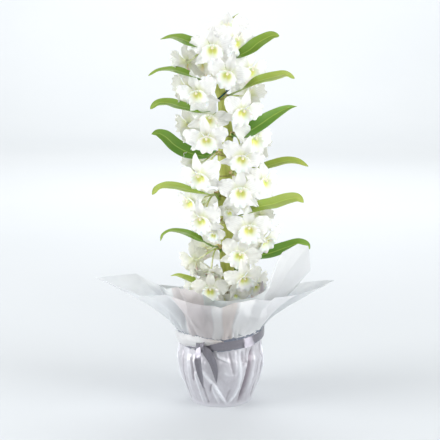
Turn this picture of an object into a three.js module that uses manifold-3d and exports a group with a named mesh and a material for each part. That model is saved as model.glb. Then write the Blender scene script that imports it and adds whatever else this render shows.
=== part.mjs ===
// Potted dendrobium orchid, gift wrapped: one upright jointed cane in a round plastic pot of bark mix,
// with lance-shaped leaves in two ranks, short racemes of white flowers at its joints, and round the pot
// a pleated paper sleeve, two stiff film sheets that flare above it and a satin ribbon that ties them.
// Millimetres, +Z up. The origin is the centre of the sleeve's flat bottom. The front faces -Y.
import * as THREE from "three";
import { mergeVertices } from "three/addons/utils/BufferGeometryUtils.js";
import Module from "manifold-3d";

const wasm = await Module();
wasm.setup();

// ---------------------------------------------------------------- driving dimensions
const GAP = 0.3; // clearance between pieces that touch
const PETAL = 0.8; // thickness of sepals, petals and lip
const LEAF = 0.9; // thickness of leaves
const FILM = 0.8; // thickness of the film sheets
const SLEEVE = { wall: 1.1, foot: 45.5, belly: 62.5, bellyZ: 68, neck: 60, neckZ: 80, top: 104, pleats: 18 };
const POT = { base: SLEEVE.wall + GAP, height: 103, foot: 41, rim: 58.2, wall: 2, lip: 5 };
// the neck's layers, from the sleeve outwards
const INNER_WAIST = SLEEVE.neck + GAP + FILM / 2;
const OUTER_WAIST = INNER_WAIST + FILM + GAP;
const RIBBON = {
  low: 90, width: 13, inside: OUTER_WAIST + FILM / 2 + GAP, thick: 0.8,
  tilt: 6, highest: 30, // it is wound aslant: the most that it rises and falls, and the way that it rises
};
const MIX_TOP = 88; // surface of the bark mix
const CANE_FOOT = 55; // height of the cane's foot, in the mix
const CANE_TIP = 523;
const CANE = { girth: 10, thinner: 3.8, footThinner: 3, waist: 0.8, tip: 3.5 }; // radii, and a joint's waist
const STALK = 1.5; // radius of a flower's stalk

const rad = THREE.MathUtils.degToRad;
const V = (x, y, z) => new THREE.Vector3(x, y, z);
const UP = V(0, 0, 1);
const clamp01 = (t) => THREE.MathUtils.clamp(t, 0, 1);
const smooth = (a, b, t) => THREE.MathUtils.smoothstep(t, a, b);

// ---------------------------------------------------------------- solids
// A closed mesh as a manifold solid. Edges that a shape collapses to a point leave flat triangles, which go.
function solidOf(geometry) {
  const bare = new THREE.BufferGeometry().setAttribute("position", geometry.getAttribute("position"));
  if (geometry.index) bare.setIndex(geometry.index);
  const merged = mergeVertices(bare, 1e-3);
  const kept = [];
  const index = merged.index.array;
  for (let i = 0; i < index.length; i += 3) {
    const [a, b, c] = [index[i], index[i + 1], index[i + 2]];
    if (a !== b && b !== c && a !== c) kept.push(a, b, c);
  }
  const vertProperties = merged.getAttribute("position").array;
  const build = () => {
    const triVerts = new Uint32Array(kept);
    return new wasm.Manifold(new wasm.Mesh({ numProp: 3, vertProperties, triVerts }));
  };
  const solid = build();
  if (solid.volume() > 0) return solid;
  for (let i = 0; i < kept.length; i += 3) [kept[i + 1], kept[i + 2]] = [kept[i + 2], kept[i + 1]];
  return build();
}

function geometryOf(solid) {
  const { vertProperties, triVerts } = solid.getMesh();
  const geometry = new THREE.BufferGeometry();
  geometry.setAttribute("position", new THREE.BufferAttribute(vertProperties, 3));
  geometry.setIndex(new THREE.BufferAttribute(triVerts, 1));
  geometry.computeVertexNormals();
  return geometry;
}

const join = (solids) => solids.reduce((a, b) => a.add(b));
const largest = (solid) => solid.decompose().reduce((a, b) => (a.volume() > b.volume() ? a : b));

// Points and triangles of one closed mesh, gathered ring by ring.
function meshMaker() {
  const points = [];
  const index = [];
  const put = (point) => points.push(point) - 1;
  const quad = (a, b, c, d) => index.push(a, b, c, a, c, d);
  // A band from one ring of points to the next. One ring may have half as many points, or a single one.
  const band = (from, to) => {
    const count = Math.max(from.length, to.length);
    const pick = (ring, j) => ring[Math.floor((j * ring.length) / count) % ring.length];
    for (let j = 0; j < count; j++) {
      const [a, b, c, d] = [pick(from, j), pick(from, j + 1), pick(to, j + 1), pick(to, j)];
      if (a !== b) index.push(a, b, c);
      if (c !== d) index.push(a, c, d);
    }
  };
  const geometry = () => new THREE.BufferGeometry().setFromPoints(points).setIndex(index);
  return { put, quad, band, geometry };
}

// A sheet of even thickness over the surface point(u, v), u and v from 0 to 1, split alike on both faces.
// `ring` joins its u ends, as on a skirt.
function sheetGeometry({ across, along, thick, point, ring = false }) {
  const inside = (t) => THREE.MathUtils.clamp(t, 0.03, 0.97);
  const normal = (u, v) => {
    const [cu, cv] = [ring ? u : inside(u), inside(v)];
    const du = point(cu + 0.01, cv).sub(point(cu - 0.01, cv));
    const dv = point(cu, cv + 0.01).sub(point(cu, cv - 0.01));
    return du.cross(dv).normalize();
  };
  const { put, quad, geometry } = meshMaker();
  const columns = ring ? across : across + 1;
  const [front, back] = [1, -1].map((side) =>
    Array.from({ length: along + 1 }, (_, j) =>
      Array.from({ length: columns }, (_, i) => {
        const [u, v] = [i / across, j / along];
        return put(point(u, v).addScaledVector(normal(u, v), (side * thick) / 2));
      }),
    ),
  );
  for (let i = 0; i < across; i++) {
    const next = (i + 1) % columns;
    for (let j = 0; j < along; j++) {
      quad(front[j][i], front[j][next], front[j + 1][next], front[j + 1][i]);
      quad(back[j][i], back[j + 1][i], back[j + 1][next], back[j][next]);
    }
    quad(back[0][i], back[0][next], front[0][next], front[0][i]);
    quad(front[along][i], front[along][next], back[along][next], back[along][i]);
  }
  if (!ring)
    for (let j = 0; j < along; j++) {
      quad(front[j][0], front[j + 1][0], back[j + 1][0], back[j][0]);
      quad(back[j][across], back[j + 1][across], front[j + 1][across], front[j][across]);
    }
  return geometry();
}

// A rod along a curve.
function rodSolid(curve, radius, sides, steps) {
  const corners = Array.from({ length: sides }, (_, i) => {
    const angle = (2 * Math.PI * i) / sides;
    return new THREE.Vector2(radius * Math.cos(angle), radius * Math.sin(angle));
  });
  const options = { steps, bevelEnabled: false, extrudePath: curve };
  return solidOf(new THREE.ExtrudeGeometry(new THREE.Shape(corners), options));
}

// A solid turned about Z from a profile of [radius, height] points that starts and ends on the axis.
function turnedGeometry(profile, sides) {
  const points = profile.map(([r, z]) => new THREE.Vector2(r, z));
  return new THREE.LatheGeometry(points, sides).rotateX(Math.PI / 2);
}

// Moves every point of a geometry by a rule.
function reshape(geometry, move) {
  const position = geometry.getAttribute("position");
  for (let i = 0; i < position.count; i++) {
    const p = move(V(position.getX(i), position.getY(i), position.getZ(i)));
    position.setXYZ(i, p.x, p.y, p.z);
  }
  return geometry;
}

// ---------------------------------------------------------------- cane
// Joints, from the foot up. side -1 is left, and 1 is right: the rank that the joint's leaf grows on.
const JOINTS = [
  { z: 112, x: 14, side: 1 },
  { z: 146, x: 13, side: -1 },
  { z: 184, x: 10, side: 1 },
  { z: 222, x: 7, side: -1 },
  { z: 262, x: 9, side: 1 },
  { z: 299, x: 4, side: -1 },
  { z: 329, x: 7, side: 1 },
  { z: 357, x: 4, side: -1 },
  { z: 384, x: 9, side: 1 },
  { z: 411, x: 5, side: -1 },
  { z: 436, x: 3, side: 1 },
  { z: 459, x: -6, side: -1 },
  { z: 481, x: -7, side: 1 },
  { z: 500, x: -14, side: -1 },
  { z: 514, x: -14, side: 1 },
];
const STATIONS = [{ z: CANE_FOOT, x: 13 }, ...JOINTS, { z: CANE_TIP, x: -14 }];
const spanAt = (z) => THREE.MathUtils.clamp(STATIONS.findIndex((s) => s.z >= z) - 1, 0, STATIONS.length - 2);

// The cane's centre at height z: straight from joint to joint, with a slight zigzag.
function caneCentre(z) {
  const [a, b] = [STATIONS[spanAt(z)], STATIONS[spanAt(z) + 1]];
  return V(THREE.MathUtils.mapLinear(z, a.z, b.z, a.x, b.x), 0, z);
}

// Each joint of the cane is narrow at its foot and swells to its shoulder.
function caneRadius(z) {
  const [a, b] = [STATIONS[spanAt(z)], STATIONS[spanAt(z) + 1]];
  const t = (z - a.z) / (b.z - a.z);
  const body = CANE.girth - CANE.thinner * smooth(330, 520, z) - CANE.footThinner * (1 - smooth(70, 150, z));
  return body * (CANE.waist + (1 - CANE.waist) * Math.sin(Math.PI * clamp01(0.1 + 0.75 * t)));
}

function caneSolid(grow = 0) {
  const heights = [CANE_FOOT];
  for (const { z } of [...JOINTS, { z: CANE_TIP }]) {
    const low = heights.at(-1);
    heights.push(low + (z - low) * 0.4, z);
  }
  const rows = heights.length - 1;
  const tube = new THREE.CylinderGeometry(1, 1, rows, 8, rows).rotateX(Math.PI / 2);
  const shaped = reshape(tube, (p) => {
    const z = heights[Math.round(p.z + rows / 2)];
    const end = z === CANE_TIP ? grow : z === CANE_FOOT ? -grow : 0;
    const radius = (z === CANE_TIP ? CANE.tip : caneRadius(z)) + grow;
    return V(p.x * radius, p.y * radius, end).add(caneCentre(z));
  });
  return solidOf(shaped);
}

// ---------------------------------------------------------------- stake and tie
const STAKE = { radius: 2, foot: V(14, 14, 28), top: V(1, 11.5, 452) };

function stakeSolid(grow = 0) {
  const [foot, top] = [STAKE.foot.clone(), STAKE.top.clone()];
  const line = new THREE.LineCurve3(foot.addScaledVector(UP, -grow), top.addScaledVector(UP, grow));
  return rodSolid(line, STAKE.radius + grow, 8, 1);
}

// A loop of coated wire round the cane and the stake, tilted so that it crosses the cane aslant.
function tieSolid() {
  const loop = new THREE.TorusGeometry(1, 0.11, 5, 14);
  loop.scale(12.7, 12.6, 10).rotateY(rad(-40)).translate(1.5, 3.6, 441);
  return solidOf(loop);
}

// ---------------------------------------------------------------- leaves
// Each leaf: its joint, its width, how far its upper face turns from the sky (0) towards the front (90), the
// share of its length where it is widest, how pointed it is (0.5 is round) and the line of its midrib.
const LEAVES = {
  leaf_1: {
    joint: 1, width: 14, turn: 20, widest: 0.5, pointed: 0.9,
    rib: [
      [-8, -6, 165], [-20, -17, 171], [-30, -24, 176], [-40, -24, 181], [-52, -19, 185], [-62, -14, 187],
      [-72, -10, 185],
    ],
  },
  leaf_2: {
    joint: 2, width: 20, turn: 40, widest: 0.5, pointed: 0.8,
    rib: [
      [28, 6, 202], [49, 8, 209], [71, 8, 214], [93, 8, 222], [112, 8, 228], [123, 8, 226], [128, 7, 220],
    ],
  },
  leaf_3: {
    joint: 3, width: 14, turn: 20, widest: 0.45, pointed: 0.9,
    rib: [
      [-14, -22, 231], [-28, -34, 242], [-43, -26, 248], [-58, -10, 249], [-73, 0, 248], [-83, 3, 242],
      [-87, 3, 233],
    ],
  },
  leaf_4: {
    joint: 4, width: 20, turn: 46, widest: 0.65, pointed: 0.75,
    rib: [
      [24, -14, 271], [38, -34, 282], [54, -36, 290], [71, -22, 291], [95, -4, 295], [109, 3, 295],
      [118, 4, 289],
    ],
  },
  leaf_5: {
    joint: 5, width: 16, turn: 35, widest: 0.7, pointed: 0.8,
    rib: [
      [-14, -34, 306], [-29, -44, 311], [-46, -34, 313], [-62, -16, 314], [-81, -2, 313], [-91, 3, 308],
      [-98, 3, 300],
    ],
  },
  leaf_6: {
    joint: 6, width: 16, turn: 34, widest: 0.68, pointed: 0.75,
    rib: [
      [25, 8, 332], [42, 10, 334], [59, 10, 338], [75, 10, 343], [92, 10, 347], [109, 10, 346],
      [124, 9, 340],
    ],
  },
  leaf_7: {
    joint: 7, width: 21, turn: 58, widest: 0.5, pointed: 0.95,
    rib: [[-20, 6, 355], [-44, 8, 359], [-64, 10, 369], [-80, 10, 383], [-90, 10, 387], [-98, 8, 386]],
  },
  leaf_8: {
    joint: 8, width: 22, turn: 52, widest: 0.38, pointed: 1.25,
    rib: [
      [22, -12, 388], [38, -30, 394], [54, -32, 404], [68, -26, 413], [84, -14, 421], [96, -6, 425],
      [106, -2, 426],
    ],
  },
  leaf_9: {
    joint: 9, width: 17, turn: 38, widest: 0.68, pointed: 0.6,
    rib: [
      [-16, -30, 421], [-30, -46, 422], [-43, -40, 426], [-58, -24, 428], [-73, -8, 431], [-88, -2, 430],
      [-99, 0, 422],
    ],
  },
  leaf_10: {
    joint: 10, width: 17, turn: 40, widest: 0.68, pointed: 0.55,
    rib: [
      [16, -20, 444], [30, -38, 452], [47, -42, 462], [62, -32, 466], [77, -22, 469], [89, -12, 470],
      [102, -6, 465],
    ],
  },
  leaf_11: {
    joint: 11, width: 15, turn: 28, widest: 0.62, pointed: 0.65,
    rib: [
      [-26, -30, 463], [-39, -42, 470], [-54, -34, 475], [-70, -18, 477], [-87, -5, 475], [-101, 0, 468],
    ],
  },
  leaf_12: {
    joint: 12, width: 19, turn: 48, widest: 0.62, pointed: 0.55,
    rib: [
      [6, -12, 491], [14, -30, 493], [26, -37, 498], [39, -32, 505], [49, -25, 513], [60, -15, 519],
      [70, -8, 523], [80, -4, 523],
    ],
  },
  leaf_13: {
    joint: 13, width: 19, turn: 42, widest: 0.4, pointed: 1.1,
    rib: [[-28, -26, 510], [-42, -32, 515], [-57, -18, 520], [-71, -4, 521], [-84, 2, 518]],
  },
  leaf_14: {
    joint: 14, width: 7, turn: 30, widest: 0.4, pointed: 1.2,
    rib: [[-2, 10, 530], [12, 12, 543], [24, 12, 553]],
  },
};

// Share of a leaf's width at t along it: narrow where it clasps the cane, and drawn in again to its tip.
function leafShape(t, widest, pointed) {
  const beyond = clamp01((t - widest) / (1 - widest));
  return (0.3 + 0.7 * smooth(0.05, widest, t)) * (1 - beyond ** 2) ** pointed;
}

function leafSolid({ joint, width, turn, widest, pointed, rib }, grow = 0) {
  const { x, z, side } = JOINTS[joint];
  const reach = caneRadius(z);
  const heel = V(x + side * (reach - 3), 0.15 * rib[0][1], z - 7);
  const shoulder = V(x + side * (reach + 2.5), 0.4 * rib[0][1], z + 4);
  const line = new THREE.CatmullRomCurve3([heel, shoulder, ...rib.map((p) => V(...p))], false, "centripetal");
  const point = (u, v) => {
    const t = clamp01(v);
    const tangent = line.getTangent(t);
    const lean = rad(turn) * smooth(0.05, widest, t);
    const sky = V(0, -Math.sin(lean), Math.cos(lean));
    sky.addScaledVector(tangent, -sky.dot(tangent)).normalize();
    const across = tangent.clone().cross(sky);
    const s = 2 * u - 1;
    const half = (width / 2) * leafShape(t, widest, pointed) + grow;
    return line.getPoint(t).addScaledVector(across, s * half).addScaledVector(sky, 0.3 * half * s * s);
  };
  return solidOf(sheetGeometry({ across: 2, along: 7, thick: LEAF + 2 * grow, point }));
}

// ---------------------------------------------------------------- flowers
// A flower's own frame: x to the right as it faces you, y up along the back sepal, z towards you.
// Its tepals in turn round the flower: the way each points in degrees, its length, width and place in depth,
// and stations along it, each a share of its length with a share of its width.
const SEPAL = { width: 14, forward: -0.6, lift: 0.26, curl: 0.42, stations: [[0.5, 1], [1, 0.2]], wave: 0.3 };
const BROAD = [[0.3, 0.62], [0.66, 1], [1, 0.36]];
const SIDE_PETAL = { width: 24, forward: 1.4, lift: 0.38, curl: 0.5, stations: BROAD, wave: 1.1 };
const TEPALS = [
  { points: 20, length: 32, ...SIDE_PETAL },
  { points: 90, length: 31, ...SEPAL },
  { points: 160, length: 32, ...SIDE_PETAL },
  { points: 221, length: 31, ...SEPAL },
  { points: 319, length: 31, ...SEPAL },
];
const NOTCH = 3.2; // radius where neighbouring tepals part
const LIP = { top: 7, below: 20, depth: 9, throat: 3.4, throatZ: 3, column: 8 };

function flowerSolid(open, grow) {
  const { put, quad, band, geometry } = meshMaker();
  const half = PETAL / 2 + grow;
  const polar = (degrees, r, side, z) => put(V(r, side, z).applyAxisAngle(UP, rad(degrees)));

  // the notches between the tepals, in front and behind
  const turnOf = (i) => TEPALS[i % 5].points + 360 * Math.floor(i / 5);
  const notchAngles = TEPALS.map((_, i) => (turnOf(i) + turnOf(i + 1)) / 2);
  const front = notchAngles.map((a) => polar(a, NOTCH + grow, 0, half));
  const back = notchAngles.map((a) => polar(a, NOTCH + grow, 0, -half));

  TEPALS.forEach(({ points, length, width, forward, lift, curl, stations, wave }, i) => {
    const before = (i + 4) % 5;
    let last = [front[before], front[i], back[i], back[before]];
    stations.forEach(([t, share], k) => {
      const rise = lift + 1.1 * (1 - open); // a half-open flower holds its tepals forward
      const out = NOTCH + (length - NOTCH) * t * (0.5 + 0.5 * open) + grow;
      const z = forward + length * (rise * t - curl * t * t);
      const w = (width / 2) * share + grow;
      const twist = wave * (k % 2 ? 1 : -1);
      const corner = (side, face) => polar(points, out, side * w, z + side * twist + face * half);
      const next = [corner(-1, 1), corner(1, 1), corner(1, -1), corner(-1, -1)];
      quad(last[0], next[0], next[1], last[1]);
      quad(last[3], last[2], next[2], next[3]);
      quad(last[0], last[3], next[3], next[0]);
      quad(last[1], next[1], next[2], last[2]);
      last = next;
    });
    quad(last[0], last[3], last[2], last[1]);
  });

  // the lip: a throat that opens into a wide cup, longest below, with the column standing in it
  const size = 0.55 + 0.45 * open;
  const nextNotch = (i) => notchAngles[(i + 1) % 5] + 360 * Math.floor((i + 1) / 5);
  const lipAngles = notchAngles.flatMap((a, i) => [a, (a + nextNotch(i)) / 2]);
  const rim = (a) => size * (LIP.top + (LIP.below - LIP.top) * (0.5 - 0.5 * Math.sin(rad(a))) ** 1.1);
  const rimZ = (j) => size * LIP.depth + (j % 2 ? 1 : 0);
  const outer = notchAngles.map((a) => polar(a, NOTCH + 0.35 * (rim(a) - NOTCH) + grow, 0, 3.1 * size));
  const lipBack = lipAngles.map((a, j) => polar(a, rim(a) + grow, 0, rimZ(j) - half));
  const lipFront = lipAngles.map((a, j) => polar(a, rim(a) - 0.5 + grow, 0, rimZ(j) + half));
  const throat = notchAngles.map((a) => polar(a, LIP.throat, 0, LIP.throatZ + grow));
  band(front, outer);
  band(outer, lipBack);
  band(lipBack, lipFront);
  band(lipFront, throat);
  band(throat, [put(V(0, 1, LIP.column * size + grow))]);
  band([put(V(0, 0, -half))], back);
  return solidOf(geometry());
}

// A bud: a plump spindle.
function budSolid(grow) {
  const spindle = new THREE.SphereGeometry(1, 6, 4).rotateX(Math.PI / 2);
  return solidOf(spindle.scale(4.8 + grow, 4.8 + grow, 9 + grow).translate(0, 0, 5));
}

// Each raceme: its joint, the way its stalk leaves the cane, and its flowers as [x, y, z, heading, pitch,
// roll, size, open]. A heading of 0 looks to the front, 90 to the right and 180 to the rear. Pitch looks up.
// open is 1 on a full flower and 0 on a bud.
const RACEMES = {
  raceme_0: {
    joint: 0, leaves: 10,
    flowers: [[3, -33, 158, 0, -10, 10, 0.55, 0.6], [20, -32, 163, 30, 0, -20, 0.62, 0.6]],
  },
  raceme_1: {
    joint: 1, leaves: -45,
    flowers: [[-15, -40, 171, 0, 10, 0, 0.88, 1], [-35, -18, 168, -50, 6, 10, 0.85, 0.8]],
  },
  raceme_1_rear: { joint: 1, leaves: 215, flowers: [[-8, 32, 166, 200, 5, 0, 0.9, 1]] },
  raceme_2: {
    joint: 2, leaves: 40,
    flowers: [[31, -46, 191, 18, -14, 8, 0.9, 1], [46, -14, 173, 50, -10, 0, 1, 1]],
  },
  raceme_3: {
    joint: 3, leaves: -50,
    flowers: [[-36, -12, 208, -126, -24, 0, 1, 1], [-14, -22, 197, -20, -56, 20, 0.88, 0.85]],
  },
  raceme_3_front: {
    joint: 3, leaves: 5,
    flowers: [[26, -38, 222, -2, 4, -22, 0.95, 1], [5, -26, 234, 70, -5, 0, 0.9, 0]],
  },
  raceme_3_rear: { joint: 3, leaves: 215, flowers: [[-20, 32, 216, 205, 0, 0, 0.95, 1]] },
  raceme_4: {
    joint: 4, leaves: 45,
    flowers: [[38, -40, 260, 6, 0, 0, 1.05, 1], [60, -14, 239, 40, -26, 24, 1, 1]],
  },
  raceme_4_front: { joint: 4, leaves: -25, flowers: [[-10, -34, 250, -6, 4, -12, 0.6, 0.75]] },
  raceme_4_rear: { joint: 4, leaves: 140, flowers: [[54, 16, 268, 142, 8, 0, 0.95, 1]] },
  raceme_5: {
    joint: 5, leaves: -55,
    flowers: [[-41, -20, 294, -42, -6, 20, 1, 1], [-26, -38, 273, -20, -10, 12, 1, 1]],
  },
  raceme_5_front: { joint: 5, leaves: 20, flowers: [[13, -32, 282, -30, -6, 12, 0.62, 0.9]] },
  raceme_5_rear: { joint: 5, leaves: 215, flowers: [[-26, 32, 284, 208, 0, 0, 0.95, 1]] },
  raceme_6: {
    joint: 6, leaves: 45,
    flowers: [[27, -42, 312, 0, 2, 0, 1.05, 1], [58, -18, 322, 38, 4, -10, 1, 1]],
  },
  raceme_6_rear: { joint: 6, leaves: 145, flowers: [[36, 32, 318, 160, 5, 0, 0.95, 1]] },
  raceme_7: { joint: 7, leaves: -40, flowers: [[-27, -36, 333, -26, -12, 16, 1.05, 1]] },
  raceme_7_rear: { joint: 7, leaves: 215, flowers: [[-34, 22, 344, -142, 16, 0, 0.95, 1]] },
  raceme_8: {
    joint: 8, leaves: 40,
    flowers: [[44, -22, 382, 32, -4, -12, 1.05, 1], [28, -43, 360, 6, -18, -22, 1, 1]],
  },
  raceme_8_rear: { joint: 8, leaves: 140, flowers: [[50, 24, 372, 146, 8, 0, 0.95, 1]] },
  raceme_9: {
    joint: 9, leaves: -35,
    flowers: [[-18, -36, 412, 14, -2, -20, 0.95, 1], [-20, -46, 387, 0, -22, 6, 1, 1]],
  },
  raceme_9_rear: { joint: 9, leaves: 225, flowers: [[-45, 2, 401, -132, -8, -12, 1, 1]] },
  raceme_10: { joint: 10, leaves: 35, flowers: [[28, -36, 423, 20, -16, -16, 1, 1]] },
  raceme_10_rear: { joint: 10, leaves: 140, flowers: [[38, 18, 440, 142, 10, 0, 0.98, 1]] },
  raceme_11: { joint: 11, leaves: -50, flowers: [[-31, -38, 448, -16, -20, 16, 1, 1]] },
  raceme_11_rear: { joint: 11, leaves: 230, flowers: [[-47, 4, 450, -134, -6, 8, 1, 1]] },
  raceme_12: {
    joint: 12, leaves: 30,
    flowers: [[9, -42, 473, -8, -12, -18, 0.98, 1], [38, -20, 476, 36, -2, -10, 1, 1]],
  },
  raceme_13: { joint: 13, leaves: -50, flowers: [[-46, -8, 487, -130, -12, 0, 1, 1]] },
  raceme_13_rear: { joint: 13, leaves: 185, flowers: [[-26, 26, 484, 196, -10, 0, 0.95, 1]] },
  raceme_14: {
    joint: 14, leaves: 10,
    flowers: [[-11, -38, 506, -6, -2, 0, 1.02, 1], [18, -26, 515, 36, 8, -10, 1.05, 1]],
  },
  raceme_14_rear: { joint: 14, leaves: 120, flowers: [[10, 2, 530, -14, 30, 8, 0.98, 1]] },
};

const headingWay = (degrees) => V(Math.sin(rad(degrees)), -Math.cos(rad(degrees)), 0);

// How a flower's own frame stands in the object's frame.
function flowerFrame([x, y, z, heading, pitch, roll, size]) {
  const level = headingWay(heading).multiplyScalar(Math.cos(rad(pitch)));
  const facing = level.addScaledVector(UP, Math.sin(rad(pitch)));
  const right = headingWay(heading + 90);
  const frame = new THREE.Matrix4().makeBasis(right, facing.clone().cross(right), facing);
  frame.multiply(new THREE.Matrix4().makeRotationZ(rad(roll)));
  frame.scale(V(size, size, size)).setPosition(x, y, z);
  return { frame, facing };
}

function racemeSolid({ joint, leaves, flowers }, grow = 0) {
  const { z } = JOINTS[joint];
  const way = headingWay(leaves);
  const start = caneCentre(z + 2).addScaledVector(way, caneRadius(z) * 0.5);
  const fork = caneCentre(z + 4).addScaledVector(way, caneRadius(z) + 5);
  const pieces = [rodSolid(new THREE.LineCurve3(start, fork), 2.2 + grow, 5, 1)];
  for (const flower of flowers) {
    const { frame, facing } = flowerFrame(flower);
    const [x, y, zf, , , , size, open] = flower;
    const body = open === 0 ? budSolid(grow / size) : flowerSolid(open, grow / size);
    pieces.push(body.transform(frame.elements));
    const root = V(x, y, zf).addScaledVector(facing, 0.8);
    const reach = root.distanceTo(fork) * 0.42;
    const from = fork.clone().addScaledVector(way, -2);
    const stalk = new THREE.CubicBezierCurve3(
      from,
      from.clone().addScaledVector(way, reach),
      root.clone().addScaledVector(facing, -reach),
      root,
    );
    pieces.push(rodSolid(stalk, STALK * size ** 0.5 + grow, 4, 2));
  }
  return join(pieces);
}

// ---------------------------------------------------------------- pot and bark mix
function potSolid() {
  const { base, height, foot, rim, wall, lip } = POT;
  const shoulder = rim - 1.5;
  const profile = [
    [0, base],
    [foot, base],
    [shoulder, height - lip],
    [rim, height - lip],
    [rim, height],
    [shoulder - wall, height],
    [foot - wall, base + wall],
    [0, base + wall],
  ];
  return solidOf(turnedGeometry(profile, 20));
}

// The mix fills the pot to a rough surface of bark, with plain holes for the cane and the stake.
function mixSolid() {
  const { base, height, foot, rim, wall } = POT;
  const low = base + wall + GAP;
  const wallAt = (z) => {
    const t = (z - base - wall) / (height - base - wall);
    return THREE.MathUtils.lerp(foot - wall, rim - 1.5 - wall, t) - 3 * GAP;
  };
  const edge = wallAt(MIX_TOP);
  const rings = [1, 0.8, 0.6, 0.4, 0.2].map((share) => [edge * share, MIX_TOP + (share < 1 ? 1 : 0)]);
  const turned = turnedGeometry([[0, low], [wallAt(low), low], ...rings, [0, MIX_TOP + 1]], 18);
  const rough = reshape(turned, (p) => {
    const r = Math.hypot(p.x, p.y);
    if (p.z > MIX_TOP && r > 1) p.z += 2.2 * Math.sin(p.x * 1.7 + 1) * Math.cos(p.y * 1.3);
    return p;
  });
  return solidOf(rough).subtract(caneSolid(GAP)).subtract(stakeSolid(GAP));
}

// ---------------------------------------------------------------- wrap
const turnWave = (angle, count) => 1 - (2 / Math.PI) * Math.acos(Math.cos(angle * count)); // 1 to -1 and back

// The paper sleeve: a closed bottom, a belly with sharp pleats, and a neck that the ribbon draws in.
function sleeveSolid() {
  const { wall, foot, belly, bellyZ, neck, neckZ, top, pleats } = SLEEVE;
  const radiusAt = (z) => {
    if (z < bellyZ) return THREE.MathUtils.lerp(foot, belly, Math.sin((Math.PI / 2) * (z / bellyZ)) ** 1.15);
    return THREE.MathUtils.lerp(belly, neck, smooth(bellyZ, neckZ, z));
  };
  const heights = [0, 16, 40, bellyZ, neckZ, top];
  const outside = heights.map((z) => [radiusAt(z), z]);
  const inside = heights.map((z) => [radiusAt(Math.max(z, wall)) - wall, Math.max(z, wall)]).reverse();
  const turned = turnedGeometry([[0, 0], ...outside, ...inside, [0, wall]], pleats * 2);
  const pleated = reshape(turned, (p) => {
    const [r, angle] = [Math.hypot(p.x, p.y), Math.atan2(p.y, p.x)];
    if (r < 20) return p;
    const loose = 1 - smooth(bellyZ, neckZ, p.z);
    const depth = (0.5 + 1.5 * smooth(4, 40, p.z)) * loose;
    const crinkle = 0.7 * Math.sin(p.z * 0.31 + 5 * angle) * smooth(8, 30, p.z) * loose;
    const moved = r + depth * turnWave(angle, pleats) + crinkle;
    return V(Math.cos(angle) * moved, Math.sin(angle) * moved, p.z);
  });
  return solidOf(pleated);
}

// The film sheets are drawn in under the ribbon and flare above it. The rim of each: [angle from +X, radius,
// height], with straight edges between the sheet's corners.
const OUTER_RIM = [
  [0, 166, 176], [20, 118, 160], [50, 100, 148], [90, 92, 140], [130, 97, 143], [150, 112, 156],
  [160, 132, 180], [180, 179, 181], [190, 150, 174], [200, 122, 164], [220, 104, 172],
  [240, 94, 167], [250, 80, 160], [270, 84, 158], [280, 93, 168], [300, 90, 170], [310, 104, 168],
  [330, 112, 168], [350, 140, 172],
];
const INNER_RIM = [
  [0, 112, 168], [20, 98, 156], [50, 86, 148], [90, 78, 146], [130, 84, 149], [160, 94, 160],
  [200, 86, 170], [220, 86, 182], [240, 76, 184], [250, 70, 178], [260, 69, 163], [280, 74, 166],
  [300, 82, 170], [310, 100, 184], [320, 116, 234], [330, 128, 243], [340, 135, 236],
  [350, 132, 196],
];

// Radius and height of the rim at an angle. Between two corners it runs straight, as a chord does.
function rimAt(rim, angle) {
  const next = rim.findIndex(([a]) => a > angle);
  const [from, to] = next < 0 ? [rim.at(-1), [360, rim[0][1], rim[0][2]]] : [rim[next - 1], rim[next]];
  const [past, ahead] = [rad(angle - from[0]), rad(to[0] - angle)];
  const chord = from[1] * Math.sin(past) + to[1] * Math.sin(ahead);
  const radius = (from[1] * to[1] * Math.sin(past + ahead)) / chord;
  return [radius, THREE.MathUtils.lerp(from[2], to[2], past / (past + ahead))];
}

// The ribbon is wound a little aslant, and the film springs out along its upper edge. How much higher than
// its middle the ribbon runs at an angle in degrees.
const tilt = (degrees) => RIBBON.tilt * Math.cos(rad(degrees - RIBBON.highest));

function filmSolid({ rim, waist, columns, fold }) {
  const held = 0.25; // share of the sheet's rows that the ribbon holds
  const point = (u, v) => {
    const degrees = (((u * 360) % 360) + 360) % 360;
    const [rimRadius, rimHeight] = rimAt(rim, degrees);
    const low = RIBBON.low - 1 + tilt(degrees);
    const tied = low + RIBBON.width + 2;
    const t = clamp01((v - held) / (1 - held));
    const pleat = fold * t * turnWave(rad(degrees), columns / 2);
    const r = waist + (rimRadius - waist) * t ** 1.35 + pleat;
    const z = v < held ? THREE.MathUtils.lerp(low, tied, v / held) : tied + (rimHeight - tied) * t ** 0.85;
    return V(r * Math.cos(rad(degrees)), r * Math.sin(rad(degrees)), z);
  };
  return solidOf(sheetGeometry({ across: columns, along: 4, thick: FILM, point, ring: true }));
}

// ---------------------------------------------------------------- ribbon
function ribbonSolid() {
  const { low, width, inside, thick } = RIBBON;
  const outside = inside + thick;
  const top = low + width;
  const section = [[inside, low], [outside, low], [outside, top], [inside, top], [inside, low]];
  const lean = (p) => p.setZ(p.z + tilt(THREE.MathUtils.radToDeg(Math.atan2(p.y, p.x))));
  return solidOf(reshape(turnedGeometry(section, 36), lean));
}

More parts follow.
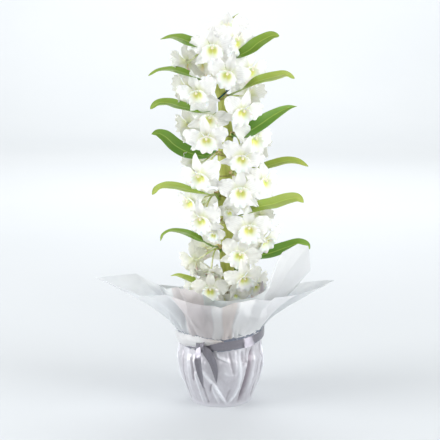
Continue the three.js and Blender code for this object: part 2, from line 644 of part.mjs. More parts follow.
// The knot and its two tails, in one piece, in front of the band and clear of the sleeve.
function knotSolid() {
  const knot = new THREE.SphereGeometry(1, 8, 6).scale(8, 4, 7.5).rotateZ(rad(-28));
  knot.translate(-31.4, -60.4, 91.5);
  const tails = [
    { end: [[-32, -62, 91], [-35, -62, 81], [-36, -63, 70], [-32, -66, 54], [-27, -66, 40]], width: 10 },
    { end: [[-31, -62.5, 90], [-26, -65, 80], [-19, -68, 70], [-16, -69, 60], [-13, -68, 50]], width: 8 },
  ];
  const sheets = tails.map(({ end, width }) => {
    const line = new THREE.CatmullRomCurve3(end.map((p) => V(...p)));
    const point = (u, v) => {
      const centre = line.getPoint(clamp01(v));
      const across = line.getTangent(clamp01(v)).cross(V(centre.x, centre.y, 0).normalize()).normalize();
      return centre.addScaledVector(across, (2 * u - 1) * (width / 2) * (0.5 + 0.5 * smooth(0, 0.3, v)));
    };
    return solidOf(sheetGeometry({ across: 1, along: 6, thick: RIBBON.thick, point }));
  });
  return join([solidOf(knot), ...sheets]);
}

// ---------------------------------------------------------------- build
const LOOK = {
  cane: { color: 0x9aa653, roughness: 0.5, metalness: 0 },
  leaf: { color: 0x5f8f35, roughness: 0.4, metalness: 0 },
  flower: { color: 0xf5f4ee, roughness: 0.55, metalness: 0 },
  pot: { color: 0x4a4d4b, roughness: 0.5, metalness: 0 },
  bark: { color: 0x5b4332, roughness: 0.9, metalness: 0 },
  stake: { color: 0x3f6b3a, roughness: 0.5, metalness: 0 },
  tie: { color: 0x24302e, roughness: 0.4, metalness: 0 },
  paper: { color: 0xcfcdd6, roughness: 0.35, metalness: 0 },
  film: { color: 0xe2e8e6, roughness: 0.2, metalness: 0 },
  ribbon: { color: 0xa79aa5, roughness: 0.3, metalness: 0 },
};

const group = new THREE.Group();
function addPiece(name, solid, look) {
  const mesh = new THREE.Mesh(geometryOf(solid), new THREE.MeshStandardMaterial(look));
  mesh.name = name;
  group.add(mesh);
}

addPiece("nursery_pot", potSolid(), LOOK.pot);
addPiece("bark_mix", mixSolid(), LOOK.bark);
addPiece("cane", caneSolid(), LOOK.cane);
addPiece("stake", stakeSolid(), LOOK.stake);
addPiece("tie", tieSolid(), LOOK.tie);
addPiece("paper_sleeve", sleeveSolid(), LOOK.paper);
addPiece("film_inner", filmSolid({ rim: INNER_RIM, waist: INNER_WAIST, columns: 36, fold: 2 }), LOOK.film);
addPiece("film_outer", filmSolid({ rim: OUTER_RIM, waist: OUTER_WAIST, columns: 36, fold: 2.5 }), LOOK.film);
addPiece("ribbon_band", ribbonSolid(), LOOK.ribbon);
addPiece("ribbon_knot", knotSolid(), LOOK.ribbon);

// Leaves and racemes stand GAP off the cane. What presses on an earlier neighbour is cut back by a little
// more than GAP, because a sheet grown on all sides is a little thin where it bends.
const taken = [caneSolid(GAP)];
const grown = [
  ...Object.entries(LEAVES).map(([name, leaf]) => ({
    name,
    look: LOOK.leaf,
    make: (grow) => leafSolid(leaf, grow),
  })),
  ...Object.entries(RACEMES).map(([name, raceme]) => ({
    name,
    look: LOOK.flower,
    make: (grow) => racemeSolid(raceme, grow),
  })),
];
for (const { name, make, look } of grown) {
  const solid = taken.reduce((rest, room) => rest.subtract(room), make(0));
  addPiece(name, largest(solid), look);
  taken.push(make(1.5 * GAP));
}

export default group;
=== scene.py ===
# %% [markdown]
# A dendrobium orchid in flower, in its pot, wrapped as a present by a florist. A jointed cane stands in a
# pot of bark, with leaves in two ranks and white flowers at its joints. Round the pot are a sleeve of
# pearl-coated paper, two sheets of frosted film that flare above it, and a satin ribbon.
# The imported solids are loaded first. They fix every place and size, in metres, with Z up and the front at -Y.

# %% The frame
import math
import random

import bmesh
import bpy
from mathutils import Matrix, Vector, noise


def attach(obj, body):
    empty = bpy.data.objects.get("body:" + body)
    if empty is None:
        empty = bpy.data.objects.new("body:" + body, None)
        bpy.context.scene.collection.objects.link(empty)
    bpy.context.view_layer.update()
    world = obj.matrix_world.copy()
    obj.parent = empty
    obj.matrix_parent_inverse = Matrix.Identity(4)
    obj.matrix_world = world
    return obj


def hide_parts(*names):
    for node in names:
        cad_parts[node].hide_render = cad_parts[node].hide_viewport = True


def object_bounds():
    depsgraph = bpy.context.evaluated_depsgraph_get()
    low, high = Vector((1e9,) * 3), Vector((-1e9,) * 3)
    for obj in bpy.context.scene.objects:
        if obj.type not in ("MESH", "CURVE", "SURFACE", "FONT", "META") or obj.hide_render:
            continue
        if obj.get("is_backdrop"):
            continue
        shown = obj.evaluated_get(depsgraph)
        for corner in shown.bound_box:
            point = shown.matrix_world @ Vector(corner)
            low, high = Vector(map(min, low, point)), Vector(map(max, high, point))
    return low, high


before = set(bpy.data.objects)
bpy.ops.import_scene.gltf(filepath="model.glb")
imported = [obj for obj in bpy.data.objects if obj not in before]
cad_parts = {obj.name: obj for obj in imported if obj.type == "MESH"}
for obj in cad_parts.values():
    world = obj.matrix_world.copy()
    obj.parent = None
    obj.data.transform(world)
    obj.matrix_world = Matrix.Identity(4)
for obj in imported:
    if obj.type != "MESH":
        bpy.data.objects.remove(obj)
solid_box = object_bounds()
print("solids", len(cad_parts), "box", [[round(c, 3) for c in corner] for corner in solid_box])

# %% [markdown]
# A camera is easiest to place once, before there is anything to look at. This one stands a metre and a half
# in front of the pot, a little above the flowers, and looks down by 11 degrees, as a person at the table
# would. A longish lens keeps the tall plant's sides upright.

# %% Camera
LOOK_DOWN = 11.16  # degrees
camera = bpy.data.objects.new("camera", bpy.data.cameras.new("camera"))
camera.data.lens = 87.9
camera.data.sensor_width = 36
camera.data.clip_end = 60
camera.location = (-0.0014, -1.5, 0.56)
camera.rotation_euler = (math.radians(90 - LOOK_DOWN), 0, 0)
bpy.context.scene.collection.objects.link(camera)
bpy.context.scene.camera = camera
print("camera at", tuple(camera.location))

# %% [markdown]
# The studio is one pale sheet that runs along the floor and curves up behind, so that no horizon shows. A
# flat grid is bent along a line that runs level, curves and climbs. White things need it: a petal reads as
# white only if what is round it is nearly white too, and the shaded side of a fold is what draws its shape.

# %% Floor and backdrop
def mix(a, b, t):
    """What lies on the way from a to b, with t from 0 to 1."""
    return a + (b - a) * t


FRONT, BEND_STARTS, BACK = -4.0, 3.0, 5.6  # metres along the sheet
BEND_RADIUS = 1.6
HALF_WIDTH = 5
floor_mesh = bmesh.new()
bmesh.ops.create_grid(floor_mesh, x_segments=12, y_segments=60, size=1)
for point in floor_mesh.verts:
    along = mix(FRONT, BACK, (point.co.y + 1) / 2)
    bend = min(max((along - BEND_STARTS) / BEND_RADIUS, 0), math.pi / 2)
    flat = min(along, BEND_STARTS) + BEND_RADIUS * math.sin(bend)
    wall = max(along - BEND_STARTS - BEND_RADIUS * math.pi / 2, 0)
    up = BEND_RADIUS * (1 - math.cos(bend)) + wall
    point.co = (point.co.x * HALF_WIDTH, flat, up)
floor = bpy.data.objects.new("studio_floor", bpy.data.meshes.new("studio_floor"))
floor_mesh.to_mesh(floor.data)
floor_mesh.free()
floor.data.shade_smooth()
bpy.context.scene.collection.objects.link(floor)
floor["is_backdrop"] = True
print("floor", len(floor.data.polygons), "faces")

# %% [markdown]
# Light comes as from tall windows at both sides, a little forward of the plant, so that the round wrap is
# bright at its flanks and darker in the middle, which is what makes it look round. A small low panel at the
# left reaches the wrap's flank under the leaves. A weak panel stands in front, and one behind rims the petals
# and shines through the film. One more washes the backdrop. The world fills the shadows. The plain "Standard"
# view keeps whites white, where the default view would grey them.

# %% Light
DAYLIGHT = (0.985, 0.99, 1.0)


def panel(name, place, aim, size, watts, colour):
    """A lamp that shines from a rectangle, as a window does. It is turned to face its aim."""
    lamp = bpy.data.objects.new(name, bpy.data.lights.new(name, "AREA"))
    lamp.data.shape = "RECTANGLE"
    lamp.data.size, lamp.data.size_y = size
    lamp.data.energy = watts
    lamp.data.color = colour
    lamp.location = place
    lamp.rotation_euler = (Vector(aim) - Vector(place)).to_track_quat("-Z", "Y").to_euler()
    bpy.context.scene.collection.objects.link(lamp)


panel("window_left", (-1.7, -0.5, 1.0), (0, 0, 0.28), (1.1, 1.8), 24, DAYLIGHT)
panel("sill_left", (-1.3, -0.3, 0.2), (0, 0, 0.08), (0.7, 0.35), 4.8, DAYLIGHT)
panel("window_right", (1.7, -0.8, 0.85), (0, 0, 0.28), (1.1, 1.6), 29, DAYLIGHT)
panel("room_front", (0.5, -2.1, 0.95), (0, 0, 0.22), (1.6, 1.2), 9, (1.0, 1.0, 0.99))
panel("window_rear", (0.2, 1.8, 1.5), (0, 0, 0.35), (1.8, 1.2), 17, DAYLIGHT)
panel("backdrop_wash", (0, 2.2, 3.2), (0, 4.6, 1.0), (4.5, 1.0), 135, (1.0, 1.0, 0.995))
world = bpy.context.scene.world or bpy.data.worlds.new("studio")
bpy.context.scene.world = world
world.use_nodes = True
world.node_tree.nodes["Background"].inputs["Color"].default_value = (0.97, 0.985, 1.0, 1)
world.node_tree.nodes["Background"].inputs["Strength"].default_value = 0.5
bpy.context.scene.view_settings.view_transform = "Standard"

# %% [markdown]
# Every material below is made of shader nodes. Three small helpers keep them readable: one turns a hex colour
# as seen on a screen into the linear colour that light is worked out in, one sets or links a node's sockets,
# and one adds a node. A Mix node for colours has several sockets of the same name, so they are picked by
# number, and the numbers get names here. A noise or Voronoi pattern of scale 100 has cells 10 mm across,
# because it cuts a metre into a hundred.

# %% Material helpers
# of a Mix node: how much of the colour that goes over, the colour under, the one over, and the result
SHARE, UNDER, OVER, MIXED = 0, 6, 7, 2


def linear(code):
    """An sRGB colour such as "#f4f3ee" as the linear colour of a shader."""
    parts = [int(code[i : i + 2], 16) / 255 for i in (1, 3, 5)]
    return (*(c / 12.92 if c <= 0.04045 else ((c + 0.055) / 1.055) ** 2.4 for c in parts), 1.0)


def wire(material, node, sockets):
    """Sets a node's sockets by name or number. A socket of another node is linked, and a value is set."""
    for name, value in sockets.items():
        if isinstance(value, bpy.types.NodeSocket):
            material.node_tree.links.new(value, node.inputs[name])
        else:
            node.inputs[name].default_value = value
    return node


def add(material, kind, sockets=None, **settings):
    """Adds a node of that kind with its settings, then wires its sockets."""
    node = material.node_tree.nodes.new("ShaderNode" + kind)
    for name, value in settings.items():
        setattr(node, name, value)
    return wire(material, node, sockets or {})


def new_material(name, **sockets):
    """A material and its shader, with plain values on the shader's own sockets."""
    material = bpy.data.materials.new(name)
    material.use_nodes = True
    shader = material.node_tree.nodes["Principled BSDF"]
    return material, wire(material, shader, {key.replace("_", " "): v for key, v in sockets.items()})


backdrop, shader = new_material("matt_white_backdrop", Roughness=0.9)
place = add(backdrop, "TexCoord").outputs["Object"]
mottle = add(backdrop, "TexNoise", {"Vector": place, "Scale": 1.5, "Detail": 2})  # patches 0.7 m across
wash = {SHARE: mottle.outputs["Fac"], UNDER: linear("#cbcfd2"), OVER: linear("#d2d5d7")}
wire(backdrop, shader, {"Base Color": add(backdrop, "Mix", wash, data_type="RGBA").outputs[MIXED]})
floor.data.materials.append(backdrop)
print("material", backdrop.name)

# %% [markdown]
# A leaf, a petal, a film and a paper sleeve are all thin sheets. Blender's grid is a sheet already, and its
# UVs come with it. The helpers below lay a grid out by a rule, a function that says where each point of the
# flat sheet goes, and then give it thickness. A strip keeps the grid's square shape, a ring joins two of its
# sides, and a blade is pressed to a disc first, which gives petals a round edge with no pinched tip.
# Shapes are worked out in millimetres and made metres at the very end.

# %% Sheets of even thickness
def faces_at(points):
    return list({face for point in points for face in point.link_faces})


def paint(faces, material=0):
    """Gives the faces one of the piece's materials, by its number, and shades them as one smooth surface."""
    for face in faces:
        face.material_index = material
        face.smooth = True


def thicken(mesh, faces, thickness):
    bmesh.ops.recalc_face_normals(mesh, faces=faces)
    bmesh.ops.solidify(mesh, geom=faces, thickness=thickness)


def new_grid(mesh, across, along, material=0):
    mesh.loops.layers.uv.verify()
    made = bmesh.ops.create_grid(mesh, x_segments=across, y_segments=along, size=1, calc_uvs=True)
    faces = faces_at(made["verts"])
    paint(faces, material)
    return made["verts"], faces


def strip_sheet(mesh, across, along, rule, thickness, ring=False):
    """rule(u, v) places a point of the sheet, with u and v from 0 to 1. A ring joins u = 0 to u = 1."""
    points, faces = new_grid(mesh, across, along)
    for point in points:
        point.co = rule((point.co.x + 1) / 2, (point.co.y + 1) / 2)
    if ring:
        bmesh.ops.remove_doubles(mesh, verts=points, dist=1e-3)
        faces = [face for face in faces if face.is_valid]
    thicken(mesh, faces, thickness)


def blade_sheet(mesh, across, along, rule, thickness, material):
    """rule(a, b) places a point of the unit disc, where b runs from the heel at -1 to the tip at 1.
    The UVs say how far across and along the blade a point is, so that veins can follow its shape."""
    points, faces = new_grid(mesh, across, along, material)
    uv = mesh.loops.layers.uv.verify()
    for point in points:
        x, y = point.co.x, point.co.y
        a, b = x * math.sqrt(1 - y * y / 2), y * math.sqrt(1 - x * x / 2)
        across_share = a / max(math.sqrt(max(1 - b * b, 0)), 0.12)
        for loop in point.link_loops:
            loop[uv].uv = (0.5 + 0.5 * across_share, 0.5 + 0.5 * b)
        point.co = rule(a, b)
    thicken(mesh, faces, thickness)


print("sheet helpers ready")

# %% [markdown]
# Stalks, the cane and the stake are rods. A rod is a circle that is extruded again and again: each new ring
# is moved on along the path, turned to face the way on, and made wider or narrower. A path that bends is a
# smooth line through a few places.

# %% Rods
def rod(mesh, path, radii, sides, material=0):
    """A closed rod along the points of a path, with a radius for each of them."""
    turn = Vector((0, 0, 1)).rotation_difference(path[1] - path[0]).to_matrix().to_4x4()
    start = Matrix.Translation(path[0]) @ turn @ Matrix.Scale(radii[0], 4)
    first = bmesh.ops.create_circle(mesh, cap_ends=True, segments=sides, radius=1, matrix=start)
    ring = set(first["verts"])
    edges = list({edge for point in ring for edge in point.link_edges})
    before = set(mesh.faces) - set(faces_at(ring))
    heading = path[1] - path[0]
    for i in range(1, len(path)):
        made = bmesh.ops.extrude_edge_only(mesh, edges=edges)["geom"]
        ring = {part for part in made if isinstance(part, bmesh.types.BMVert)}
        edges = [e for e in made if isinstance(e, bmesh.types.BMEdge) and set(e.verts) <= ring]
        onward = path[min(i + 1, len(path) - 1)] - path[i - 1]
        bend = heading.rotation_difference(onward).to_matrix().to_4x4()
        move = Matrix.Translation(path[i]) @ bend @ Matrix.Scale(radii[i] / radii[i - 1], 4)
        bmesh.ops.transform(mesh, matrix=move @ Matrix.Translation(-path[i - 1]), verts=list(ring))
        heading = onward
    bmesh.ops.contextual_create(mesh, geom=edges)
    faces = [face for face in mesh.faces if face not in before]
    bmesh.ops.recalc_face_normals(mesh, faces=faces)
    paint(faces, material)


def smooth_line(points, t):
    """A point at t, from 0 to 1, on a smooth line through all the points (a centripetal Catmull-Rom)."""
    along = min(max(t, 0.0), 1.0) * (len(points) - 1)
    i = min(int(along), len(points) - 2)
    w = along - i
    b, c = points[i], points[i + 1]
    a = points[i - 1] if i else 2 * b - c
    d = points[i + 2] if i + 2 < len(points) else 2 * c - b
    da, db, dc = [max((q - p).length, 1e-4) ** 0.5 for p, q in ((a, b), (b, c), (c, d))]
    leave = ((b - a) / da - (c - a) / (da + db) + (c - b) / db) * db
    arrive = ((c - b) / db - (d - b) / (db + dc) + (d - c) / dc) * db
    turn = (3 * (c - b) - 2 * leave - arrive) * w * w + (2 * (b - c) + leave + arrive) * w**3
    return b + leave * w + turn


print("rod helpers ready")

# %% [markdown]
# Every shape is finished in the same way. Its millimetres become metres, it gets its materials, and edges
# that are sharper than an angle are shaded as creases. Then it is booked in: it rides on the one body, and it
# may replace an imported solid.

# %% Seating a piece
def seat(mesh, name, materials, node=None, sharp=50):
    """Turns a finished bmesh in millimetres into a piece of the object in metres, and books it in."""
    bmesh.ops.scale(mesh, vec=(0.001, 0.001, 0.001), verts=mesh.verts)
    piece = bpy.data.objects.new(name, bpy.data.meshes.new(name))
    mesh.to_mesh(piece.data)
    mesh.free()
    for material in materials:
        piece.data.materials.append(material)
    piece.data.set_sharp_from_angle(angle=math.radians(sharp))
    bpy.context.scene.collection.objects.link(piece)
    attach(piece, "root")
    if node:
        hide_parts(node)
    piece.data.calc_loop_triangles()
    print(name, len(piece.data.loop_triangles), "triangles")
    return piece


print("ready to seat pieces round", solid_box)

# %% [markdown]
# The cane is a stem of short joints, each narrow at its foot and swollen at its shoulder, with a thin ring
# where a leaf once clasped it. It wanders a little from joint to joint. One tall rod with many rings can
# carry all of that: its radius is a rule of height. A number at each point says how near it is to a joint's
# ring, and the material reads it to brown the rings.

# %% Cane shape
CANE_FOOT, CANE_TOP = 55, 523
JOINTS = [
    (112, 14, 1), (146, 13, -1), (184, 10, 1), (222, 7, -1), (262, 9, 1), (299, 4, -1), (329, 7, 1),
    (357, 4, -1), (384, 9, 1), (411, 5, -1), (436, 3, 1), (459, -6, -1), (481, -7, 1), (500, -14, -1),
    (514, -14, 1),
]  # height, sideways place and the side that its leaf grows on
STATIONS = [(CANE_FOOT, 13), *[(z, x) for z, x, side in JOINTS], (CANE_TOP, -14)]


def smooth(low, high, t):
    """0 below low, 1 above high, and an even S between."""
    t = min(max((t - low) / (high - low), 0.0), 1.0)
    return t * t * (3 - 2 * t)


def cane_span(z):
    """How far along its joint the height is, from 0 to 1, and the sideways place of the joint's two ends."""
    i = next((i for i, station in enumerate(STATIONS) if station[0] >= z), len(STATIONS) - 1)
    i = min(max(i - 1, 0), len(STATIONS) - 2)
    (low, x_low), (high, x_high) = STATIONS[i], STATIONS[i + 1]
    return (z - low) / (high - low), x_low, x_high


def cane_centre(z):
    t, x_low, x_high = cane_span(z)
    return Vector((mix(x_low, x_high, t), 0, z))


def cane_radius(z):
    """10 mm at its stoutest, thinner at the foot and the tip, and waisted at each joint."""
    body = 10 - 3.8 * smooth(330, 520, z) - 3 * (1 - smooth(70, 150, z))
    t = cane_span(z)[0]
    return body * (0.8 + 0.2 * math.sin(math.pi * min(max(0.1 + 0.75 * t, 0), 1)))


def ring_nearness(z):
    """1 on a joint's ring, and 0 a few millimetres away from it."""
    return max(math.exp(-(((z - joint[0]) / 1.3) ** 2)) for joint in JOINTS)


print("cane", STATIONS[0], "to", STATIONS[-1])

# %% [markdown]
# The rod gets a ring of 28 points every 1.8 mm. Then each point is pushed in or out by up to 0.16 mm, which
# gives the stem fine lengthwise ribs, and takes down how near it is to a joint's ring.

# %% Cane
RING_STEP = 1.8  # mm from one ring of points to the next


def domed_radius(z):
    """The cane's radius with its joint rings, and with its top closed in a small dome."""
    return (cane_radius(z) + 0.35 * ring_nearness(z)) * math.sqrt(1 - smooth(512, 526, z) ** 2)


heights = [CANE_FOOT + RING_STEP * i for i in range(260)] + [CANE_TOP]
cane_mesh = bmesh.new()
rod(cane_mesh, [cane_centre(z) for z in heights], [domed_radius(z) for z in heights], sides=28)
near_ring = cane_mesh.verts.layers.float.new("ring")
for point in cane_mesh.verts:
    z = point.co.z
    angle = math.atan2(point.co.y, point.co.x - cane_centre(z).x)
    # the scar runs aslant round the cane, lowest opposite its leaf
    nearest = min(JOINTS, key=lambda joint: abs(joint[0] - z))
    slant = 1.5 * nearest[2] * math.cos(angle)
    point[near_ring] = ring_nearness(z - slant)
    centre = cane_centre(z)
    ribs = 0.16 * math.sin(13 * angle) * (1 - ring_nearness(z))
    point.co = centre + (point.co - centre) * (1 + ribs / cane_radius(z))
print("cane points", len(cane_mesh.verts))

# %% [markdown]
# A living stem has a waxy skin over green flesh, olive where it has aged and yellower where light reached it,
# with fine lengthwise fibres. The wax gives it a soft, broad shine. The fibres are noise that is drawn out
# along the stem, 2 to 3 mm wide and 70 mm long, and the two greens come in patches 30 mm across.

# %% Cane skin
cane_skin, shader = new_material("waxy_cane_skin", Roughness=0.42, IOR=1.45, Specular_IOR_Level=0.45)
place = add(cane_skin, "TexCoord").outputs["Object"]
stretched = add(cane_skin, "Mapping", {"Vector": place, "Scale": (420, 420, 14)}).outputs["Vector"]
fibre = add(cane_skin, "TexNoise", {"Vector": stretched, "Scale": 1.0, "Detail": 3}).outputs["Fac"]
patch = add(cane_skin, "TexNoise", {"Vector": place, "Scale": 34, "Detail": 3}).outputs["Fac"]
greens = {SHARE: patch, UNDER: linear("#99a543"), OVER: linear("#c6c970")}
greens = add(cane_skin, "Mix", greens, data_type="RGBA").outputs[MIXED]
fibred = add(cane_skin, "MapRange", {"Value": fibre, "From Min": 0.45, "From Max": 0.75, "To Max": 0.4})
striped = {SHARE: fibred.outputs["Result"], UNDER: greens, OVER: linear("#75812f")}
striped = add(cane_skin, "Mix", striped, data_type="RGBA").outputs[MIXED]
ring = add(cane_skin, "Attribute", attribute_name="ring").outputs["Fac"]
browned = add(cane_skin, "MapRange", {"Value": ring, "From Min": 0.35, "From Max": 0.95, "To Max": 0.85})
coat = {SHARE: browned.outputs["Result"], UNDER: striped, OVER: linear("#6a5432")}
coat = add(cane_skin, "Mix", coat, data_type="RGBA").outputs[MIXED]
dents = add(cane_skin, "Bump", {"Height": fibre, "Strength": 0.25, "Distance": 0.0004}).outputs["Normal"]
wire(cane_skin, shader, {"Base Color": coat, "Normal": dents})
seat(cane_mesh, "cane_stem", [cane_skin], node="cane")

# %% [markdown]
# Old leaf sheaths stay round the lowest joints as dry paper. Each is a ring of thin sheet just outside the
# cane, with a torn upper edge. Dry sheath is straw white with brown ribs, and quite dull. The ribs are noise
# that follows the sheet's UVs: about 34 patches round the cane, each nearly as tall as the sheath.

# %% Dry sheaths
dry_sheath, shader = new_material("dry_leaf_sheath", Roughness=0.75, IOR=1.4)
place = add(dry_sheath, "TexCoord").outputs["UV"]
ribs = add(dry_sheath, "Mapping", {"Vector": place, "Scale": (34, 1.2, 1)}).outputs["Vector"]
ribs = add(dry_sheath, "TexNoise", {"Vector": ribs, "Scale": 1.0, "Detail": 4}).outputs["Fac"]
ribs = add(dry_sheath, "MapRange", {"Value": ribs, "From Min": 0.42, "From Max": 0.6}).outputs["Result"]
straw = {SHARE: ribs, UNDER: linear("#8d7c5c"), OVER: linear("#e3dcc8")}
straw = add(dry_sheath, "Mix", straw, data_type="RGBA").outputs[MIXED]
raised = add(dry_sheath, "Bump", {"Height": ribs, "Strength": 0.5, "Distance": 0.0004}).outputs["Normal"]
wire(dry_sheath, shader, {"Base Color": straw, "Normal": raised})


def sheath(low, high, seed):
    """A sheath between two heights in mm. The seed picks how its upper edge is torn."""
    def rule(u, v):
        angle = 2 * math.pi * u
        torn = 2.4 * noise.noise(Vector((3 * math.cos(angle), 3 * math.sin(angle), seed)))
        z = mix(low, high + torn, v)
        r = cane_radius(z) + 0.45 + 0.25 * v
        return cane_centre(z) + Vector((r * math.cos(angle), r * math.sin(angle), 0))

    mesh = bmesh.new()
    strip_sheet(mesh, across=48, along=10, rule=rule, thickness=0.2, ring=True)
    return mesh


seat(sheath(148, 178, 3), "dry_sheath_upper", [dry_sheath])
seat(sheath(113.5, 139, 8), "dry_sheath_lower", [dry_sheath])

# %% [markdown]
# A leaf grows from each joint, left and right in turn. It is a leathery strap, folded a little along its
# midrib, that springs from a clasping base, arches out and droops or lifts at its tip. Each follows a line
# of its own. Its upper side turns from the sky towards the light at the front.

# %% Leaf shapes
LEAVES = {
    "leaf_1": (1, 14, 20, 0.5, 0.9, [(-8, -6, 165), (-20, -17, 171), (-30, -24, 176), (-40, -24, 181),
                (-52, -19, 185), (-62, -14, 187), (-72, -10, 185)]),
    "leaf_2": (2, 20, 40, 0.5, 0.8, [(28, 6, 202), (49, 8, 209), (71, 8, 214), (93, 8, 222), (112, 8, 228),
                (123, 8, 226), (128, 7, 220)]),
    "leaf_3": (3, 14, 20, 0.45, 0.9, [(-14, -22, 231), (-28, -34, 242), (-43, -26, 248), (-58, -10, 249),
                (-73, 0, 248), (-83, 3, 242), (-87, 3, 233)]),
    "leaf_4": (4, 20, 46, 0.65, 0.75, [(24, -14, 271), (38, -34, 282), (54, -36, 290), (71, -22, 291),
                (95, -4, 295), (109, 3, 295), (118, 4, 289)]),
    "leaf_5": (5, 16, 35, 0.7, 0.8, [(-14, -34, 306), (-29, -44, 311), (-46, -34, 313), (-62, -16, 314),
                (-81, -2, 313), (-91, 3, 308), (-98, 3, 300)]),
    "leaf_6": (6, 16, 34, 0.68, 0.75, [(25, 8, 332), (42, 10, 334), (59, 10, 338), (75, 10, 343),
                (92, 10, 347), (109, 10, 346), (124, 9, 340)]),
    "leaf_7": (7, 21, 58, 0.5, 0.95, [(-20, 6, 355), (-44, 8, 359), (-64, 10, 369), (-80, 10, 383),
                (-90, 10, 387), (-98, 8, 386)]),
    "leaf_8": (8, 22, 52, 0.38, 1.25, [(22, -12, 388), (38, -30, 394), (54, -32, 404), (68, -26, 413),
                (84, -14, 421), (96, -6, 425), (106, -2, 426)]),
    "leaf_9": (9, 17, 38, 0.68, 0.6, [(-16, -30, 421), (-30, -46, 422), (-43, -40, 426), (-58, -24, 428),
                (-73, -8, 431), (-88, -2, 430), (-99, 0, 422)]),
    "leaf_10": (10, 17, 40, 0.68, 0.55, [(16, -20, 444), (30, -38, 452), (47, -42, 462), (62, -32, 466),
                (77, -22, 469), (89, -12, 470), (102, -6, 465)]),
    "leaf_11": (11, 15, 28, 0.62, 0.65, [(-26, -30, 463), (-39, -42, 470), (-54, -34, 475), (-70, -18, 477),
                (-87, -5, 475), (-101, 0, 468)]),
    "leaf_12": (12, 19, 48, 0.62, 0.55, [(6, -12, 491), (14, -30, 493), (26, -37, 498), (39, -32, 505),
                (49, -25, 513), (60, -15, 519), (70, -8, 523), (80, -4, 523)]),
    "leaf_13": (13, 19, 42, 0.4, 1.1, [(-28, -26, 510), (-42, -32, 515), (-57, -18, 520), (-71, -4, 521),
                (-84, 2, 518)]),
    "leaf_14": (14, 7, 30, 0.4, 1.2, [(-2, 10, 530), (12, 12, 543), (24, 12, 553)]),
}  # joint, width, turn in degrees, where it is widest, how pointed it is, and the line of its midrib
DEEP_LEAVES = ("leaf_2", "leaf_7", "leaf_8")  # the oldest and darkest
GROWN_LEAVES = ("leaf_3", "leaf_9", "leaf_11", "leaf_12", "leaf_13")


def leaf_rule(joint, width, turn, widest, pointed, rib):
    z, x, side = JOINTS[joint]
    reach = cane_radius(z)
    forward = rib[0][1]
    # the heel lies in the cane, and the shoulder just clear of it
    heel = Vector((x + side * (reach - 3), 0.15 * forward, z - 7))
    shoulder = Vector((x + side * (reach + 2.5), 0.4 * forward, z + 4))
    line = [heel, shoulder, *map(Vector, rib)]

    def rule(u, v):
        way = (smooth_line(line, v + 0.002) - smooth_line(line, v - 0.002)).normalized()
        opened = smooth(0.05, widest, v)
        lean = math.radians(turn) * opened
        sky = Vector((0, -math.sin(lean), math.cos(lean)))
        sky = (sky - way * sky.dot(way)).normalized()
        s = 2 * u - 1  # across the leaf, from -1 to 1
        beyond = max(v - widest, 0) / (1 - widest)
        shape = (0.3 + 0.7 * opened) * max(1 - beyond**2, 0.0004) ** pointed
        half = width / 2 * shape
        fold = 0.32 * half * abs(s) ** 1.4
        wave = 0.5 * half / 8 * s * s * math.sin(17 * v + 3 * joint + (1.4 if s > 0 else 0))
        return smooth_line(line, v) + way.cross(sky) * (s * half) + sky * (fold + wave)

    return rule


print("leaves", len(LEAVES))

# %% [markdown]
# Leaf skin is smooth and slightly waxy, so it has a clear soft shine. Sunlight passes a little through it.
# The veins run side by side from base to tip, about one a millimetre, with a paler midrib. They follow the
# sheet's own UVs: u goes across the leaf and v along it. The blade is a little uneven too, in patches 22 mm
# across. Three greens serve young, grown and old leaves.

# %% Leaf skin
LEAF_VEINS = 15  # side by side across a leaf
MIDRIB = "#b9cf6a"


def leaf_material(name, blade, vein, tip):
    wax = dict(Roughness=0.42, IOR=1.42, Subsurface_Weight=0.12, Subsurface_Scale=0.002)
    skin, shader = new_material(name, **wax)
    along = add(skin, "TexCoord").outputs["UV"]
    parts = add(skin, "SeparateXYZ", {"Vector": along}).outputs
    lines = add(skin, "Math", {0: parts["X"], 1: 2 * math.pi * LEAF_VEINS}, operation="MULTIPLY").outputs[0]
    lines = add(skin, "Math", {0: lines}, operation="SINE").outputs[0]
    thin = {"Value": lines, "From Min": 0.2, "From Max": 1.0, "To Max": 0.5}
    thin = add(skin, "MapRange", thin).outputs["Result"]
    aside = add(skin, "Math", {0: parts["X"], 1: 0.5}, operation="SUBTRACT").outputs[0]
    aside = add(skin, "Math", {0: aside}, operation="ABSOLUTE").outputs[0]
    rib = {"Value": aside, "From Min": 0.0, "From Max": 0.05, "To Min": 1.0, "To Max": 0.0}
    rib = add(skin, "MapRange", rib).outputs["Result"]
    place = add(skin, "TexCoord").outputs["Object"]
    cloud = add(skin, "TexNoise", {"Vector": place, "Scale": 45, "Detail": 3}).outputs["Fac"]
    ends = add(skin, "MapRange", {"Value": parts["Y"], "From Min": 0.55, "From Max": 1.0}).outputs["Result"]
    spots = {"Value": cloud, "From Min": 0.35, "From Max": 0.75, "To Max": 0.35}
    spots = add(skin, "MapRange", spots).outputs["Result"]
    half = add(skin, "Math", {0: rib, 1: 0.6}, operation="MULTIPLY").outputs[0]
    base = linear(blade)
    # each wash of colour goes over the one before
    for share, wash in ((ends, tip), (spots, vein), (thin, vein), (half, MIDRIB)):
        base = {SHARE: share, UNDER: base, OVER: linear(wash)}
        base = add(skin, "Mix", base, data_type="RGBA").outputs[MIXED]
    relief = add(skin, "Math", {0: lines, 1: rib}, operation="ADD").outputs[0]
    relief = add(skin, "Bump", {"Height": relief, "Strength": 0.18, "Distance": 0.0004}).outputs["Normal"]
    wire(skin, shader, {"Base Color": base, "Normal": relief})
    return skin


